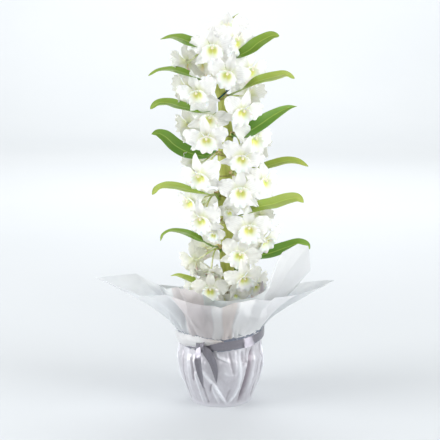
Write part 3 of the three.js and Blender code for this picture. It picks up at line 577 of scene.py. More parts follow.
young_leaf = leaf_material("young_leaf_skin", blade="#849d38", vein="#9cb04f", tip="#a6b552")
grown_leaf = leaf_material("grown_leaf_skin", blade="#618622", vein="#7a9a33", tip="#88a138")
old_leaf = leaf_material("old_leaf_skin", blade="#57862a", vein="#739c3d", tip="#86a63b")
print("materials", young_leaf.name, grown_leaf.name, old_leaf.name)

# %% [markdown]
# Each leaf is one strip, a little over half a millimetre thick and laid out by its rule. It has many faces
# along it, where it arches, and few across it, where it only folds.

# %% Leaves
for name, leaf_form in LEAVES.items():
    leaf = bmesh.new()
    strip_sheet(leaf, across=12, along=64, rule=leaf_rule(*leaf_form), thickness=0.55)
    skin = old_leaf if name in DEEP_LEAVES else grown_leaf if name in GROWN_LEAVES else young_leaf
    seat(leaf, name + "_blade", [skin], node=name)

# %% [markdown]
# A flower has three sepals, two broader petals and a lip. It is worked out in a frame of its own: x to the
# right as it faces you, y up along the back sepal, and z towards you. Each tepal is a blade that starts by
# the throat, leans forward and curls back, with a wavy edge. A half-open flower holds its tepals forward.

# %% Tepals
TEPAL_THICKNESS = 0.45
PETAL_FORM = (32, 25, 1.4, 0.38, 0.50, 1.5, 0.78, 0.18)
SEPAL_FORM = (31, 15, -0.6, 0.26, 0.42, 0.6, 0.95, 0.5)
# the way that each one points, in degrees, then its length, width, lean, lift, curl, ruffle, how early it is
# widest, and how pointed its tip is
TEPALS = [(20, *PETAL_FORM), (90, *SEPAL_FORM), (160, *PETAL_FORM), (221, *SEPAL_FORM), (319, *SEPAL_FORM)]


def tepal_rule(tepal, open_share, draw):
    points, length, width, lean, lift, curl, ruffle, widest, tip = tepal
    turn = Matrix.Rotation(math.radians(points), 3, "Z")
    phase, twist, folds = draw.uniform(0, 6.3), draw.uniform(-0.14, 0.14), draw.choice((6, 7, 9))
    lift, curl = lift + draw.uniform(-0.07, 0.07), curl + draw.uniform(-0.12, 0.12)
    seed = Vector((draw.uniform(0, 90), draw.uniform(0, 90), 0))

    def rule(a, b):
        t = ((b + 1) / 2) ** widest
        edge = smooth(0.5, 1.0, math.hypot(a, b))
        round_it = math.atan2(a, b)
        claw = 0.5 + 0.5 * smooth(0.0, 0.45, t)
        point_in = 1 - tip * smooth(0.45, 1.0, t)
        frill = math.sin(folds * round_it + phase)
        side = a * width / 2 * claw * point_in * (1 + 0.03 * edge * frill)
        rise = lift + 1.1 * (1 - open_share)
        out = 1.2 + (length - 1.2) * t * (0.5 + 0.5 * open_share) * (1 + 0.02 * edge * frill)
        z = lean + length * (rise * t - curl * t * t)
        z += ruffle * edge * frill * smooth(0.15, 0.5, t) + twist * side * t
        z += 0.10 * abs(side) ** 1.3 * (1 if width < 20 else 0.8) - 0.25 * math.exp(-((side / 1.1) ** 2))
        z += 1.5 * noise.noise(seed + Vector((side, out, 0)) * 0.1)
        return turn @ Vector((out, side, z))

    return rule


print("tepals", len(TEPALS))

# %% [markdown]
# The lip is the flower's landing place: a cup, longest below, with low side lobes, a crisped edge and a
# yellow-green blotch in two lobes down in the throat. Over it stands the column, a short curved stub that
# ends in a cream cap with the pollen under it. The lip's UVs are its flat plan, so that the blotch can be
# drawn in millimetres.

# %% Lip and column
LIP_PLAN = 44  # the lip's UVs span this many millimetres


def lip_rule(size, draw):
    phase, folds = draw.uniform(0, 6.3), draw.choice((11, 13))

    def rule(a, b):
        reach = min(math.hypot(a, b), 1.0)
        angle = math.atan2(b, a)
        below = 0.5 - 0.5 * math.sin(angle)
        rim = 7 + 13 * below**1.05
        edge = smooth(0.55, 1.0, reach)
        frill = math.sin(folds * angle + phase)
        r = rim * reach * (1 + 0.05 * edge * frill)
        z = 1.6 + 7.9 * smooth(-0.15, 1.05, reach) - 1.6 * smooth(0.76, 1.0, reach) * below
        z += 1.4 * smooth(0.3, 0.8, reach) * math.cos(angle) ** 2 + 1.1 * edge * frill
        z += 0.5 * math.exp(-((r * math.cos(angle) / 1.3) ** 2)) * smooth(0.1, 0.4, reach) * (1 - edge)
        return Vector((r * math.cos(angle), r * math.sin(angle), z)) * size

    return rule


def add_lip(mesh, size, draw, material):
    before = set(mesh.verts)
    blade_sheet(mesh, 22, 22, lip_rule(size, draw), TEPAL_THICKNESS, material)
    uv = mesh.loops.layers.uv.verify()
    for point in mesh.verts:
        if point not in before:
            for loop in point.link_loops:
                loop[uv].uv = (0.5 + point.co.x / size / LIP_PLAN, 0.5 + point.co.y / size / LIP_PLAN)


def add_column(mesh, size, body, cap):
    path = [Vector((0, y, z)) * size for y, z in ((2.2, 0.5), (2.7, 3), (2.6, 5.6), (1.7, 8.0))]
    rod(mesh, path, [r * size for r in (2.2, 2.1, 1.9, 1.7)], sides=12, material=body)
    place = Matrix.Translation(Vector((0, 1.5, 8.4)) * size)
    place = place @ Matrix.Diagonal((1.75, 1.45, 1.3, 1)) @ Matrix.Scale(size, 4)
    made = bmesh.ops.create_uvsphere(mesh, u_segments=12, v_segments=8, radius=1, matrix=place)
    paint(faces_at(made["verts"]), cap)


print("lip plan", LIP_PLAN, "mm across")

# %% [markdown]
# Petals are thin wet tissue: white because air between the cells scatters light, with a faint sheen, a trace
# of grey in the veins and green where they join the stalk. Some light goes through, which the subsurface
# share gives. The veins fan from base to tip with the blade's own UVs. A noise of 6 mm makes them waver, and
# one of 11 mm mixes a cooler and a warmer white.

# %% Petal material
PETAL_VEINS = 9
petal, shader = new_material(
    "petal_tissue", Roughness=0.5, IOR=1.38, Subsurface_Weight=0.6, Subsurface_Scale=0.003, Sheen_Weight=0.08
)
shader.inputs["Subsurface Radius"].default_value = (1.0, 0.95, 0.85)
along = add(petal, "TexCoord").outputs["UV"]
parts = add(petal, "SeparateXYZ", {"Vector": along}).outputs
place = add(petal, "TexCoord").outputs["Object"]
waver = add(petal, "TexNoise", {"Vector": place, "Scale": 160, "Detail": 2}).outputs["Fac"]
bent = add(petal, "Math", {0: waver, 1: 0.05, 2: parts["X"]}, operation="MULTIPLY_ADD").outputs[0]
veins = add(petal, "Math", {0: bent, 1: 2 * math.pi * PETAL_VEINS}, operation="MULTIPLY").outputs[0]
veins = add(petal, "Math", {0: veins}, operation="SINE").outputs[0]
faint = {"Value": veins, "From Min": 0.1, "From Max": 1.0, "To Max": 0.5}
faint = add(petal, "MapRange", faint).outputs["Result"]
cloud = add(petal, "TexNoise", {"Vector": place, "Scale": 90, "Detail": 3}).outputs["Fac"]
green = {"Value": parts["Y"], "From Min": 0.02, "From Max": 0.38, "To Min": 0.85, "To Max": 0.0}
green = add(petal, "MapRange", green, interpolation_type="SMOOTHSTEP").outputs["Result"]
# the lowest flowers open last, and are still a little green
height = add(petal, "SeparateXYZ", {"Vector": place}).outputs["Z"]
late = {"Value": height, "From Min": 0.15, "From Max": 0.34, "To Min": 0.5, "To Max": 0.0}
late = add(petal, "MapRange", late, interpolation_type="SMOOTHSTEP").outputs["Result"]
tone = linear("#f3f2ef")
for share, wash in ((cloud, "#f9f8f1"), (faint, "#e2e2de"), (green, "#d9e0a6"), (late, "#f8f8df")):
    tone = {SHARE: share, UNDER: tone, OVER: linear(wash)}
    tone = add(petal, "Mix", tone, data_type="RGBA").outputs[MIXED]
relief = add(petal, "Bump", {"Height": veins, "Strength": 0.22, "Distance": 0.0003}).outputs["Normal"]
wire(petal, shader, {"Base Color": tone, "Normal": relief})
print("material", petal.name)

# %% [markdown]
# The lip is the same tissue, a little denser. Its blotch is two soft spots side by side, each about 9 mm
# across, worked out as the distance from a spot's centre on the lip's plan. The real cells are far too small
# to show, so its grain is drawn at 1.7 mm.

# %% Lip material
tissue = dict(Roughness=0.48, IOR=1.38, Subsurface_Weight=0.2, Subsurface_Scale=0.003)
lip_tissue, shader = new_material("lip_tissue", **tissue)
plan = add(lip_tissue, "TexCoord").outputs["UV"]
centred = {"Vector": plan, "Location": (-LIP_PLAN / 2, -LIP_PLAN / 2, 0), "Scale": (LIP_PLAN, LIP_PLAN, 1)}
plan = add(lip_tissue, "Mapping", centred).outputs["Vector"]
parts = add(lip_tissue, "SeparateXYZ", {"Vector": plan}).outputs
aside = add(lip_tissue, "Math", {0: parts["X"]}, operation="ABSOLUTE").outputs[0]
spot_x = add(lip_tissue, "Math", {0: aside, 1: 2.6}, operation="SUBTRACT").outputs[0]
spot_y = add(lip_tissue, "Math", {0: parts["Y"], 1: 2.2}, operation="ADD").outputs[0]
spot = add(lip_tissue, "CombineXYZ", {"X": spot_x, "Y": spot_y}).outputs[0]
spot = add(lip_tissue, "VectorMath", {0: spot, 1: (1.0, 0.8, 1.0)}, operation="MULTIPLY").outputs[0]
far = add(lip_tissue, "VectorMath", {0: spot}, operation="LENGTH").outputs["Value"]
soft = {"Value": far, "From Min": 1.2, "From Max": 5.0, "To Min": 1.0, "To Max": 0.0}
soft = add(lip_tissue, "MapRange", soft, interpolation_type="SMOOTHSTEP").outputs["Result"]
wide = {"Value": far, "From Min": 3.0, "From Max": 8.5, "To Min": 0.8, "To Max": 0.0}
wide = add(lip_tissue, "MapRange", wide, interpolation_type="SMOOTHSTEP").outputs["Result"]
blotch = linear("#f4f3ee")
for share, wash in ((wide, "#edefc8"), (soft, "#e0e17c")):
    blotch = {SHARE: share, UNDER: blotch, OVER: linear(wash)}
    blotch = add(lip_tissue, "Mix", blotch, data_type="RGBA").outputs[MIXED]
place = add(lip_tissue, "TexCoord").outputs["Object"]
grain = add(lip_tissue, "TexNoise", {"Vector": place, "Scale": 600, "Detail": 2}).outputs["Fac"]
relief = add(lip_tissue, "Bump", {"Height": grain, "Strength": 0.2, "Distance": 0.0003}).outputs["Normal"]
wire(lip_tissue, shader, {"Base Color": blotch, "Normal": relief})
print("material", lip_tissue.name)

# %% [markdown]
# The column, the stalks, the buds and their papery bracts are all smooth plant flesh, and so the same recipe
# serves them: two close tones in soft patches, a little light let in, and a shine that gets duller the drier
# the part is. Thin plastic coats look much the same, so the stake and its tie use it later.

# %% Column, stalk and bud materials
def flesh_material(name, low, high, roughness, grain):
    """Smooth flesh whose colour wanders between two tones. grain is the size of a patch in mm."""
    wax = dict(IOR=1.42, Subsurface_Weight=0.1, Subsurface_Scale=0.002)
    flesh, shader = new_material(name, Roughness=roughness, **wax)
    place = add(flesh, "TexCoord").outputs["Object"]
    cloud = add(flesh, "TexNoise", {"Vector": place, "Scale": 1000 / grain, "Detail": 2}).outputs["Fac"]
    spread = add(flesh, "MapRange", {"Value": cloud, "From Min": 0.35, "From Max": 0.65}).outputs["Result"]
    tone = {SHARE: spread, UNDER: linear(low), OVER: linear(high)}
    tone = add(flesh, "Mix", tone, data_type="RGBA").outputs[MIXED]
    skin = add(flesh, "Bump", {"Height": cloud, "Strength": 0.15, "Distance": 0.0003}).outputs["Normal"]
    wire(flesh, shader, {"Base Color": tone, "Normal": skin})
    return flesh


column_flesh = flesh_material("column_flesh", "#e9ecc2", "#f6f6ea", 0.4, 2)
pollen_cap = flesh_material("pollen_cap", "#ead9b8", "#f5efdc", 0.35, 1.5)
stalk_skin = flesh_material("stalk_skin", "#a9b85a", "#cfd693", 0.42, 5)
stalk_pale = flesh_material("young_stalk_skin", "#cdd69a", "#eceed6", 0.42, 4)
bract_paper = flesh_material("papery_bract", "#b98f6a", "#d8cf9c", 0.6, 3)
bud_skin = flesh_material("bud_skin", "#dfe5b4", "#f3f4e4", 0.45, 5)
print("materials so far", len(bpy.data.materials))

# %% [markdown]
# The flowers grow in small bunches, each on a short stalk from one of the cane's joints. A bunch is named by
# its joint, and each flower is given by its place, the way it faces (0 is to the front and 90 to the right),
# how far it looks up, its roll, its size and how open it is.

# %% List of bunches
RACEMES = {
    "raceme_0": (0, 10, [(3, -33, 158, 0, -10, 10, 0.55, 0.6), (20, -32, 163, 30, 0, -20, 0.62, 0.6)]),
    "raceme_1": (1, -45, [(-15, -40, 171, 0, 10, 0, 0.88, 1), (-35, -18, 168, -50, 6, 10, 0.85, 0.8)]),
    "raceme_1_rear": (1, 215, [(-8, 32, 166, 200, 5, 0, 0.9, 1)]),
    "raceme_2": (2, 40, [(31, -46, 191, 18, -14, 8, 0.9, 1), (46, -14, 173, 50, -10, 0, 1, 1)]),
    "raceme_3": (3, -50, [(-36, -12, 208, -126, -24, 0, 1, 1), (-14, -22, 197, -20, -56, 20, 0.88, 0.85)]),
    "raceme_3_front": (3, 5, [(26, -38, 222, -2, 4, -22, 0.95, 1), (5, -26, 234, 70, -5, 0, 0.9, 0)]),
    "raceme_3_rear": (3, 215, [(-20, 32, 216, 205, 0, 0, 0.95, 1)]),
    "raceme_4": (4, 45, [(38, -40, 260, 6, 0, 0, 1.05, 1), (60, -14, 239, 40, -26, 24, 1, 1)]),
    "raceme_4_front": (4, -25, [(-10, -34, 250, -6, 4, -12, 0.6, 0.75)]),
    "raceme_4_rear": (4, 140, [(54, 16, 268, 142, 8, 0, 0.95, 1)]),
    "raceme_5": (5, -55, [(-41, -20, 294, -42, -6, 20, 1, 1), (-26, -38, 273, -20, -10, 12, 1, 1)]),
    "raceme_5_front": (5, 20, [(13, -32, 282, -30, -6, 12, 0.62, 0.9)]),
    "raceme_5_rear": (5, 215, [(-26, 32, 284, 208, 0, 0, 0.95, 1)]),
    "raceme_6": (6, 45, [(27, -42, 312, 0, 2, 0, 1.05, 1), (58, -18, 322, 38, 4, -10, 1, 1)]),
    "raceme_6_rear": (6, 145, [(36, 32, 318, 160, 5, 0, 0.95, 1)]),
    "raceme_7": (7, -40, [(-27, -36, 333, -26, -12, 16, 1.05, 1)]),
    "raceme_7_rear": (7, 215, [(-34, 22, 344, -142, 16, 0, 0.95, 1)]),
    "raceme_8": (8, 40, [(44, -22, 382, 32, -4, -12, 1.05, 1), (28, -43, 360, 6, -18, -22, 1, 1)]),
    "raceme_8_rear": (8, 140, [(50, 24, 372, 146, 8, 0, 0.95, 1)]),
    "raceme_9": (9, -35, [(-18, -36, 412, 14, -2, -20, 0.95, 1), (-20, -46, 387, 0, -22, 6, 1, 1)]),
    "raceme_9_rear": (9, 225, [(-45, 2, 401, -132, -8, -12, 1, 1)]),
    "raceme_10": (10, 35, [(28, -36, 423, 20, -16, -16, 1, 1)]),
    "raceme_10_rear": (10, 140, [(38, 18, 440, 142, 10, 0, 0.98, 1)]),
    "raceme_11": (11, -50, [(-31, -38, 448, -16, -20, 16, 1, 1)]),
    "raceme_11_rear": (11, 230, [(-47, 4, 450, -134, -6, 8, 1, 1)]),
    "raceme_12": (12, 30, [(9, -42, 473, -8, -12, -18, 0.98, 1), (38, -20, 476, 36, -2, -10, 1, 1)]),
    "raceme_13": (13, -50, [(-46, -8, 487, -130, -12, 0, 1, 1)]),
    "raceme_13_rear": (13, 185, [(-26, 26, 484, 196, -10, 0, 0.95, 1)]),
    "raceme_14": (14, 10, [(-11, -38, 506, -6, -2, 0, 1.02, 1), (18, -26, 515, 36, 8, -10, 1.05, 1)]),
    "raceme_14_rear": (14, 120, [(10, 2, 530, -14, 30, 8, 0.98, 1)]),
}  # joint, the way that its stalk leaves the cane, and the flowers, where an opening of 0 is a bud
print("bunches", len(RACEMES), "flowers", sum(len(flowers) for joint, leaves, flowers in RACEMES.values()))

# %% [markdown]
# A flower or a bud is built upright in its own frame and then stood in its place by one matrix. One object
# can wear several materials: each face keeps the number of its own, in the order of the list.

# %% Flowers and buds
FLOWER_PARTS = [petal, lip_tissue, column_flesh, pollen_cap, stalk_skin, stalk_pale, bract_paper, bud_skin]
PETAL, LIP, COLUMN, CAP, STALK, PALE, BRACT, BUD = range(8)


def heading(degrees):
    """The level direction for a turn in degrees: 0 is to the front and 90 to the right."""
    return Vector((math.sin(math.radians(degrees)), -math.cos(math.radians(degrees)), 0))


def flower_frame(x, y, z, turn, pitch, roll, size):
    """The matrix that stands a flower in its place, and the way that it faces."""
    facing = heading(turn) * math.cos(math.radians(pitch)) + Vector((0, 0, math.sin(math.radians(pitch))))
    right = heading(turn + 90)
    stand = Matrix((right, facing.cross(right), facing)).transposed().to_4x4()
    roll = Matrix.Rotation(math.radians(roll), 4, "Z")
    return Matrix.Translation((x, y, z)) @ stand @ roll @ Matrix.Scale(size, 4), facing


def add_flower(mesh, stand, open_share, draw):
    """Builds a flower in its own frame, then stands it in its place."""
    before = set(mesh.verts)
    for tepal in TEPALS:
        across = 16 if tepal[1:] == PETAL_FORM else 12
        blade_sheet(mesh, across, 16, tepal_rule(tepal, open_share, draw), TEPAL_THICKNESS, PETAL)
    size = 0.55 + 0.45 * open_share
    add_lip(mesh, size, draw, LIP)
    add_column(mesh, size, COLUMN, CAP)
    bmesh.ops.transform(mesh, matrix=stand, verts=[p for p in mesh.verts if p not in before])


def add_bud(mesh, stand):
    """A plump spindle with a seam where its sepals meet."""
    made = bmesh.ops.create_uvsphere(mesh, u_segments=24, v_segments=16, radius=1)["verts"]
    for point in made:
        angle = math.atan2(point.co.y, point.co.x)
        lobes = 1 - 0.07 * abs(math.cos(1.5 * angle)) ** 6
        narrow = 1 - 0.25 * smooth(-0.2, 1.0, point.co.z)
        point.co = (point.co.x * 4.8 * lobes * narrow, point.co.y * 4.8 * lobes * narrow, 5 + 9 * point.co.z)
    paint(faces_at(made), BUD)
    bmesh.ops.transform(mesh, matrix=stand, verts=made)


print("materials on a bunch", len(FLOWER_PARTS))

# %% [markdown]
# A bunch's stem leaves the cane at a joint and forks into a stalk for each flower. A stalk is a rod on a
# curve that sets out along the stem and comes to the flower from behind. It is green by the stem and pale by
# the flower. Two dry scales clasp the fork. A draw that is seeded with the bunch's name makes each flower a
# little different, and the same on every run.

# %% Bunches of flowers
STALK_STEPS = 14
GREEN_STEPS = 8  # of them, by the stem


def bezier(a, b, c, d, t):
    """A point at t, from 0 to 1, on the curve that leaves a towards b and comes to d from c."""
    s = 1 - t
    return a * s**3 + b * 3 * s * s * t + c * 3 * s * t * t + d * t**3


def grow_raceme(name, joint, leaves, flowers):
    draw = random.Random(name)
    mesh = bmesh.new()
    mesh.loops.layers.uv.verify()
    z = JOINTS[joint][0]
    way = heading(leaves)
    start = cane_centre(z + 2) + way * cane_radius(z) * 0.5
    fork = cane_centre(z + 4) + way * (cane_radius(z) + 5)
    steps = [start.lerp(fork, t) for t in (0, 0.4, 0.7, 1)]
    rod(mesh, steps, [2.3, 2.0, 2.1, 1.6], sides=12, material=STALK)
    for flower in flowers:
        *place, open_share = flower
        stand, facing = flower_frame(*place)
        if open_share:
            add_flower(mesh, stand, open_share, draw)
        else:
            add_bud(mesh, stand)
        size = place[-1] ** 0.5
        root = Vector(place[:3]) + facing * 0.4
        reach = (root - fork).length * 0.42
        from_here = fork - way * 2
        shares = [i / STALK_STEPS for i in range(STALK_STEPS + 1)]
        outward, arrival = from_here + way * reach, root - facing * reach
        path = [bezier(from_here, outward, arrival, root, t) for t in shares]
        radii = [size * (1.15 + 0.5 * smooth(0.5, 1.0, t)) for t in shares]
        rod(mesh, path[: GREEN_STEPS + 1], radii[: GREEN_STEPS + 1], sides=8, material=STALK)
        rod(mesh, path[GREEN_STEPS:], radii[GREEN_STEPS:], sides=8, material=PALE)
    add_bracts(mesh, fork, way, draw)
    return mesh


def add_bracts(mesh, fork, way, draw):
    """Two dry scales that clasp the stalk where it forks."""
    upright = Vector((0, 0, 1)).rotation_difference(way).to_matrix().to_4x4()
    for side in (-1, 1):
        stand = Matrix.Translation(fork - way * 5) @ upright
        stand = stand @ Matrix.Rotation(side * 1.3 + draw.uniform(-0.5, 0.5), 4, "Z")
        length = draw.uniform(6, 8)

        def rule(a, b):
            t, wrap = (b + 1) / 2, 1.15 * a
            r = 2.7 + 0.8 * t
            return stand @ Vector((r * math.sin(wrap), r * math.cos(wrap), length * t))

        blade_sheet(mesh, across=6, along=6, rule=rule, thickness=0.25, material=BRACT)


for name, (joint, leaves, flowers) in RACEMES.items():
    raceme = grow_raceme(name, joint, leaves, flowers)
    seat(raceme, name + "_bloom", FLOWER_PARTS, node=name, sharp=70)

# %% [markdown]
# The plant stands in a thin plastic nursery pot, which the wrap hides but for its rim. A pot is turned: half
# of its outline is drawn as a chain of edges and spun once round. It gets injection-moulded plastic, dark
# and slightly rough, with scuffs some 8 mm across.

# %% Nursery pot
FULL_TURN = dict(cent=(0, 0, 0), axis=(0, 0, 1), angle=2 * math.pi, use_merge=True)


def spin_outline(outline, steps):
    """Turns a chain of (radius, height) points once round Z. Its two ends lie on the axis."""
    mesh = bmesh.new()
    points = [mesh.verts.new((r, 0, z)) for r, z in outline]
    edges = [mesh.edges.new((a, b)) for a, b in zip(points, points[1:])]
    bmesh.ops.spin(mesh, geom=[*points, *edges], steps=steps, **FULL_TURN)
    bmesh.ops.remove_doubles(mesh, verts=mesh.verts, dist=1e-3)
    bmesh.ops.recalc_face_normals(mesh, faces=mesh.faces)
    paint(mesh.faces)
    return mesh


pot_plastic, shader = new_material("moulded_pot_plastic", Roughness=0.46, IOR=1.49)
place = add(pot_plastic, "TexCoord").outputs["Object"]
scuff = add(pot_plastic, "TexNoise", {"Vector": place, "Scale": 130, "Detail": 4}).outputs["Fac"]
tone = {SHARE: scuff, UNDER: linear("#3d403f"), OVER: linear("#585c5a")}
tone = add(pot_plastic, "Mix", tone, data_type="RGBA").outputs[MIXED]
relief = add(pot_plastic, "Bump", {"Height": scuff, "Strength": 0.15, "Distance": 0.0003}).outputs["Normal"]
wire(pot_plastic, shader, {"Base Color": tone, "Normal": relief})
POT_OUTLINE = [
    (0, 1.4), (40, 1.4), (41, 2.2), (56.7, 97.6), (58.2, 98), (58.2, 102.4), (57.6, 103), (54.9, 103),
    (54.7, 98), (39.4, 3.4), (0, 3.4),
]  # under the bottom, up the outside, over the rim and down the inside
seat(spin_outline(POT_OUTLINE, 96), "pot_shell", [pot_plastic], node="nursery_pot", sharp=35)

# %% [markdown]
# Pine bark is corky and quite dull. It splits into thin layers, so its brown comes in flat dark streaks, a
# millimetre or two thick, over patches of two browns some 13 mm across, and its relief follows the streaks.

# %% Pine bark
bark, shader = new_material("pine_bark", Roughness=0.88, IOR=1.4)
place = add(bark, "TexCoord").outputs["Object"]
layers = add(bark, "Mapping", {"Vector": place, "Scale": (160, 160, 620)}).outputs["Vector"]
layers = add(bark, "TexNoise", {"Vector": layers, "Scale": 1.0, "Detail": 4}).outputs["Fac"]
lumps = add(bark, "TexNoise", {"Vector": place, "Scale": 75, "Detail": 2}).outputs["Fac"]
spread = add(bark, "MapRange", {"Value": lumps, "From Min": 0.35, "From Max": 0.65}).outputs["Result"]
tone = {SHARE: spread, UNDER: linear("#4a3323"), OVER: linear("#8a6444")}
tone = add(bark, "Mix", tone, data_type="RGBA").outputs[MIXED]
streak = {"Value": layers, "From Min": 0.4, "From Max": 0.7, "To Max": 0.6}
streak = add(bark, "MapRange", streak).outputs["Result"]
tone = {SHARE: streak, UNDER: tone, OVER: linear("#332419")}
tone = add(bark, "Mix", tone, data_type="RGBA").outputs[MIXED]
relief = add(bark, "Bump", {"Height": layers, "Strength": 0.7, "Distance": 0.0008}).outputs["Normal"]
wire(bark, shader, {"Base Color": tone, "Normal": relief})
print("material", bark.name)

# %% [markdown]
# Orchids are potted in chips of pine bark, 6 to 13 mm long, loose and open. A bed of dark crumbs fills the
# pot, and the chips lie on it. Each chip is a block with bevelled edges and its corners pushed about, a few
# dozen faces at most, because there are well over a hundred. A seeded draw places them, clear of the cane
# and the stake.

# %% Bark bed and chips
BED_EDGE, BED_TOP = 52.6, 87  # the bed's radius at its edge, and its height
CHIPS = 170
# where the cane and the stake stand, and how far from there the chips stay
KEEP_CLEAR = [(Vector((13.3, 0)), 8.5), (Vector((12.2, 13.6)), 2.4)]
bed_outline = [(0, 3.7), (38.4, 3.7), (BED_EDGE, BED_TOP - 1)]
bed_outline += [(BED_EDGE * share, BED_TOP) for share in (0.9, 0.7, 0.5, 0.25, 0)]
bed = spin_outline(bed_outline, 72)
for point in bed.verts:
    if point.co.z > 80:
        point.co.z += 1.6 * noise.noise(point.co * 0.25)


def drawn_turn(low, high, axis, draw):
    """A turn about that axis, by an angle that is drawn."""
    return Matrix.Rotation(draw.uniform(low, high), 4, axis)


def scatter_chips(mesh, count):
    """Lays up to that many chips. A draw that lands on the cane, the stake, the wall or a chip is dropped."""
    draw = random.Random(11)
    placed = []
    for attempt in range(count * 30):
        if len(placed) == count:
            break
        r, angle = 50 * math.sqrt(draw.random()), draw.uniform(0, 2 * math.pi)
        spot = Vector((r * math.cos(angle), r * math.sin(angle), BED_TOP + 0.2))
        length = draw.uniform(6, 13)
        blocked = any((spot.xy - centre).length < gap + length / 2 for centre, gap in KEEP_CLEAR)
        crowded = any((spot.xy - other.xy).length < 0.32 * (length + size) for other, size in placed)
        if blocked or crowded or r + length / 2 > BED_EDGE + 0.4:
            continue
        placed.append((spot, length))
        made = bmesh.ops.create_cube(mesh, size=1)["verts"]
        lean = drawn_turn(-0.35, 0.35, "X", draw) @ drawn_turn(-0.35, 0.35, "Y", draw)
        shape = Matrix.Diagonal((length, length * draw.uniform(0.45, 0.75), draw.uniform(2.2, 4), 1))
        stand = Matrix.Translation(spot + Vector((0, 0, draw.uniform(0.4, 1.8))))
        stand = stand @ drawn_turn(0, 6.3, "Z", draw) @ lean @ shape
        for point in made:
            point.co += Vector([draw.uniform(-0.14, 0.14) for axis in range(3)])
        bmesh.ops.transform(mesh, matrix=stand, verts=made)
        edges = list({edge for point in made for edge in point.link_edges})
        chamfer = dict(offset=0.7, segments=1, profile=0.5, affect="EDGES", material=-1)
        bmesh.ops.bevel(mesh, geom=edges, **chamfer)
    return len(placed)


print("bark chips", scatter_chips(bed, CHIPS))
seat(bed, "bark_bed", [bark], node="bark_mix", sharp=30)

# %% [markdown]
# A stake behind the cane holds it up. It is a steel wire in green plastic with fine rings moulded in, so its
# radius ripples by a fraction of a millimetre. A loop of coated wire ties the cane to it, aslant: a small
# circle is spun once round, and the ring that it makes is then stretched, tilted and put in its place.

# %% Stake and tie
STAKE_FOOT, STAKE_TIP = Vector((14, 14, 28)), Vector((1, 11.5, 452))
RIPPLES = 212  # about one every 2 mm
stake_path = [STAKE_FOOT.lerp(STAKE_TIP, i / RIPPLES) for i in range(RIPPLES + 1)]
stake_mesh = bmesh.new()
ripple = [1.85 + 0.13 * (i % 2) for i in range(RIPPLES)]
rod(stake_mesh, stake_path, ripple + [1.0], sides=14)
stake_plastic = flesh_material("coated_stake", "#35592f", "#47713d", 0.45, 30)
seat(stake_mesh, "plant_stake", [stake_plastic], node="stake", sharp=60)

tie_mesh = bmesh.new()
ring = bmesh.ops.create_circle(tie_mesh, segments=10, radius=1.0)["verts"]
upright = Matrix.Translation((1, 0, 0)) @ Matrix.Rotation(math.pi / 2, 4, "X")
bmesh.ops.transform(tie_mesh, matrix=upright @ Matrix.Scale(0.11, 4), verts=ring)
bmesh.ops.spin(tie_mesh, geom=[*tie_mesh.verts, *tie_mesh.edges], steps=60, **FULL_TURN)
bmesh.ops.recalc_face_normals(tie_mesh, faces=tie_mesh.faces)
paint(tie_mesh.faces)
aslant = Matrix.Translation((1.5, 3.6, 441)) @ Matrix.Rotation(math.radians(-40), 4, "Y")
aslant = aslant @ Matrix.Diagonal((12.7, 12.6, 10, 1))
bmesh.ops.transform(tie_mesh, matrix=aslant, verts=tie_mesh.verts)
tie_plastic = flesh_material("coated_tie_wire", "#12302f", "#2a6a6c", 0.3, 8)
seat(tie_mesh, "wire_tie", [tie_plastic], node="tie", sharp=60)

# %% [markdown]
# The sleeve is stiff paper with a pearl coat, drawn up round the pot and in at the neck. Stiff paper does not
# drape: it breaks into flat facets that meet in creases. It is one ring of sheet: the rule walks from the
# middle of the bottom out to the foot and up the side. Every crease is a line on the paper, with a height and
# a width to each side of it. The front ones are listed one by one, and a seeded draw lays the rest all round.

# %% Sleeve creases
CREASES = [
    (-3.2, 3, 11, [(318, 90), (311, 71), (307, 56), (304, 31), (300, 4)]),
    (1.9, 4, 4, [(279, 3), (290, 17), (296, 32), (297, 48), (295, 70), (295, 88)]),
    (2.1, 4, 3, [(243, 62), (252, 48), (262, 35), (270, 20), (280, 4)]),
    (1.3, 3, 3, [(256, 36), (262, 18), (268, 4)]),
    (-1.7, 3, 3, [(243, 36), (246, 18), (249, 4)]),
    (1.8, 3, 3, [(233, 52), (236, 28), (239, 4)]),
    (-2.0, 3, 3, [(226, 78), (229, 58), (227, 36)]),
    (1.0, 3, 4, [(218, 88), (220, 54), (218, 16)]),
    (-1.8, 3, 3, [(205, 86), (208, 58), (204, 30), (203, 4)]),
    (1.2, 2.5, 4, [(262, 90), (266, 79), (281, 72)]),
    (-1.2, 3, 3, [(280, 88), (283, 73), (287, 52)]),
    (0.8, 3, 3, [(289, 88), (291, 57)]),
    (-1.2, 2.5, 3, [(299, 88), (301, 62)]),
    (-1.3, 2.5, 3, [(307, 90), (304, 66)]),
    (-1.4, 3, 3, [(329, 66), (329, 36), (334, 5)]),
    (1.0, 4, 4, [(323, 88), (320, 60), (315, 26)]),
    (0.4, 2, 2, [(273, 57), (282, 52), (291, 52)]),
    (-1.4, 2, 3, [(257, 40), (253, 26)]),
    (-0.9, 3, 3, [(283, 30), (278, 12)]),
]  # height, width to its left and right, and its line as degrees round and mm up


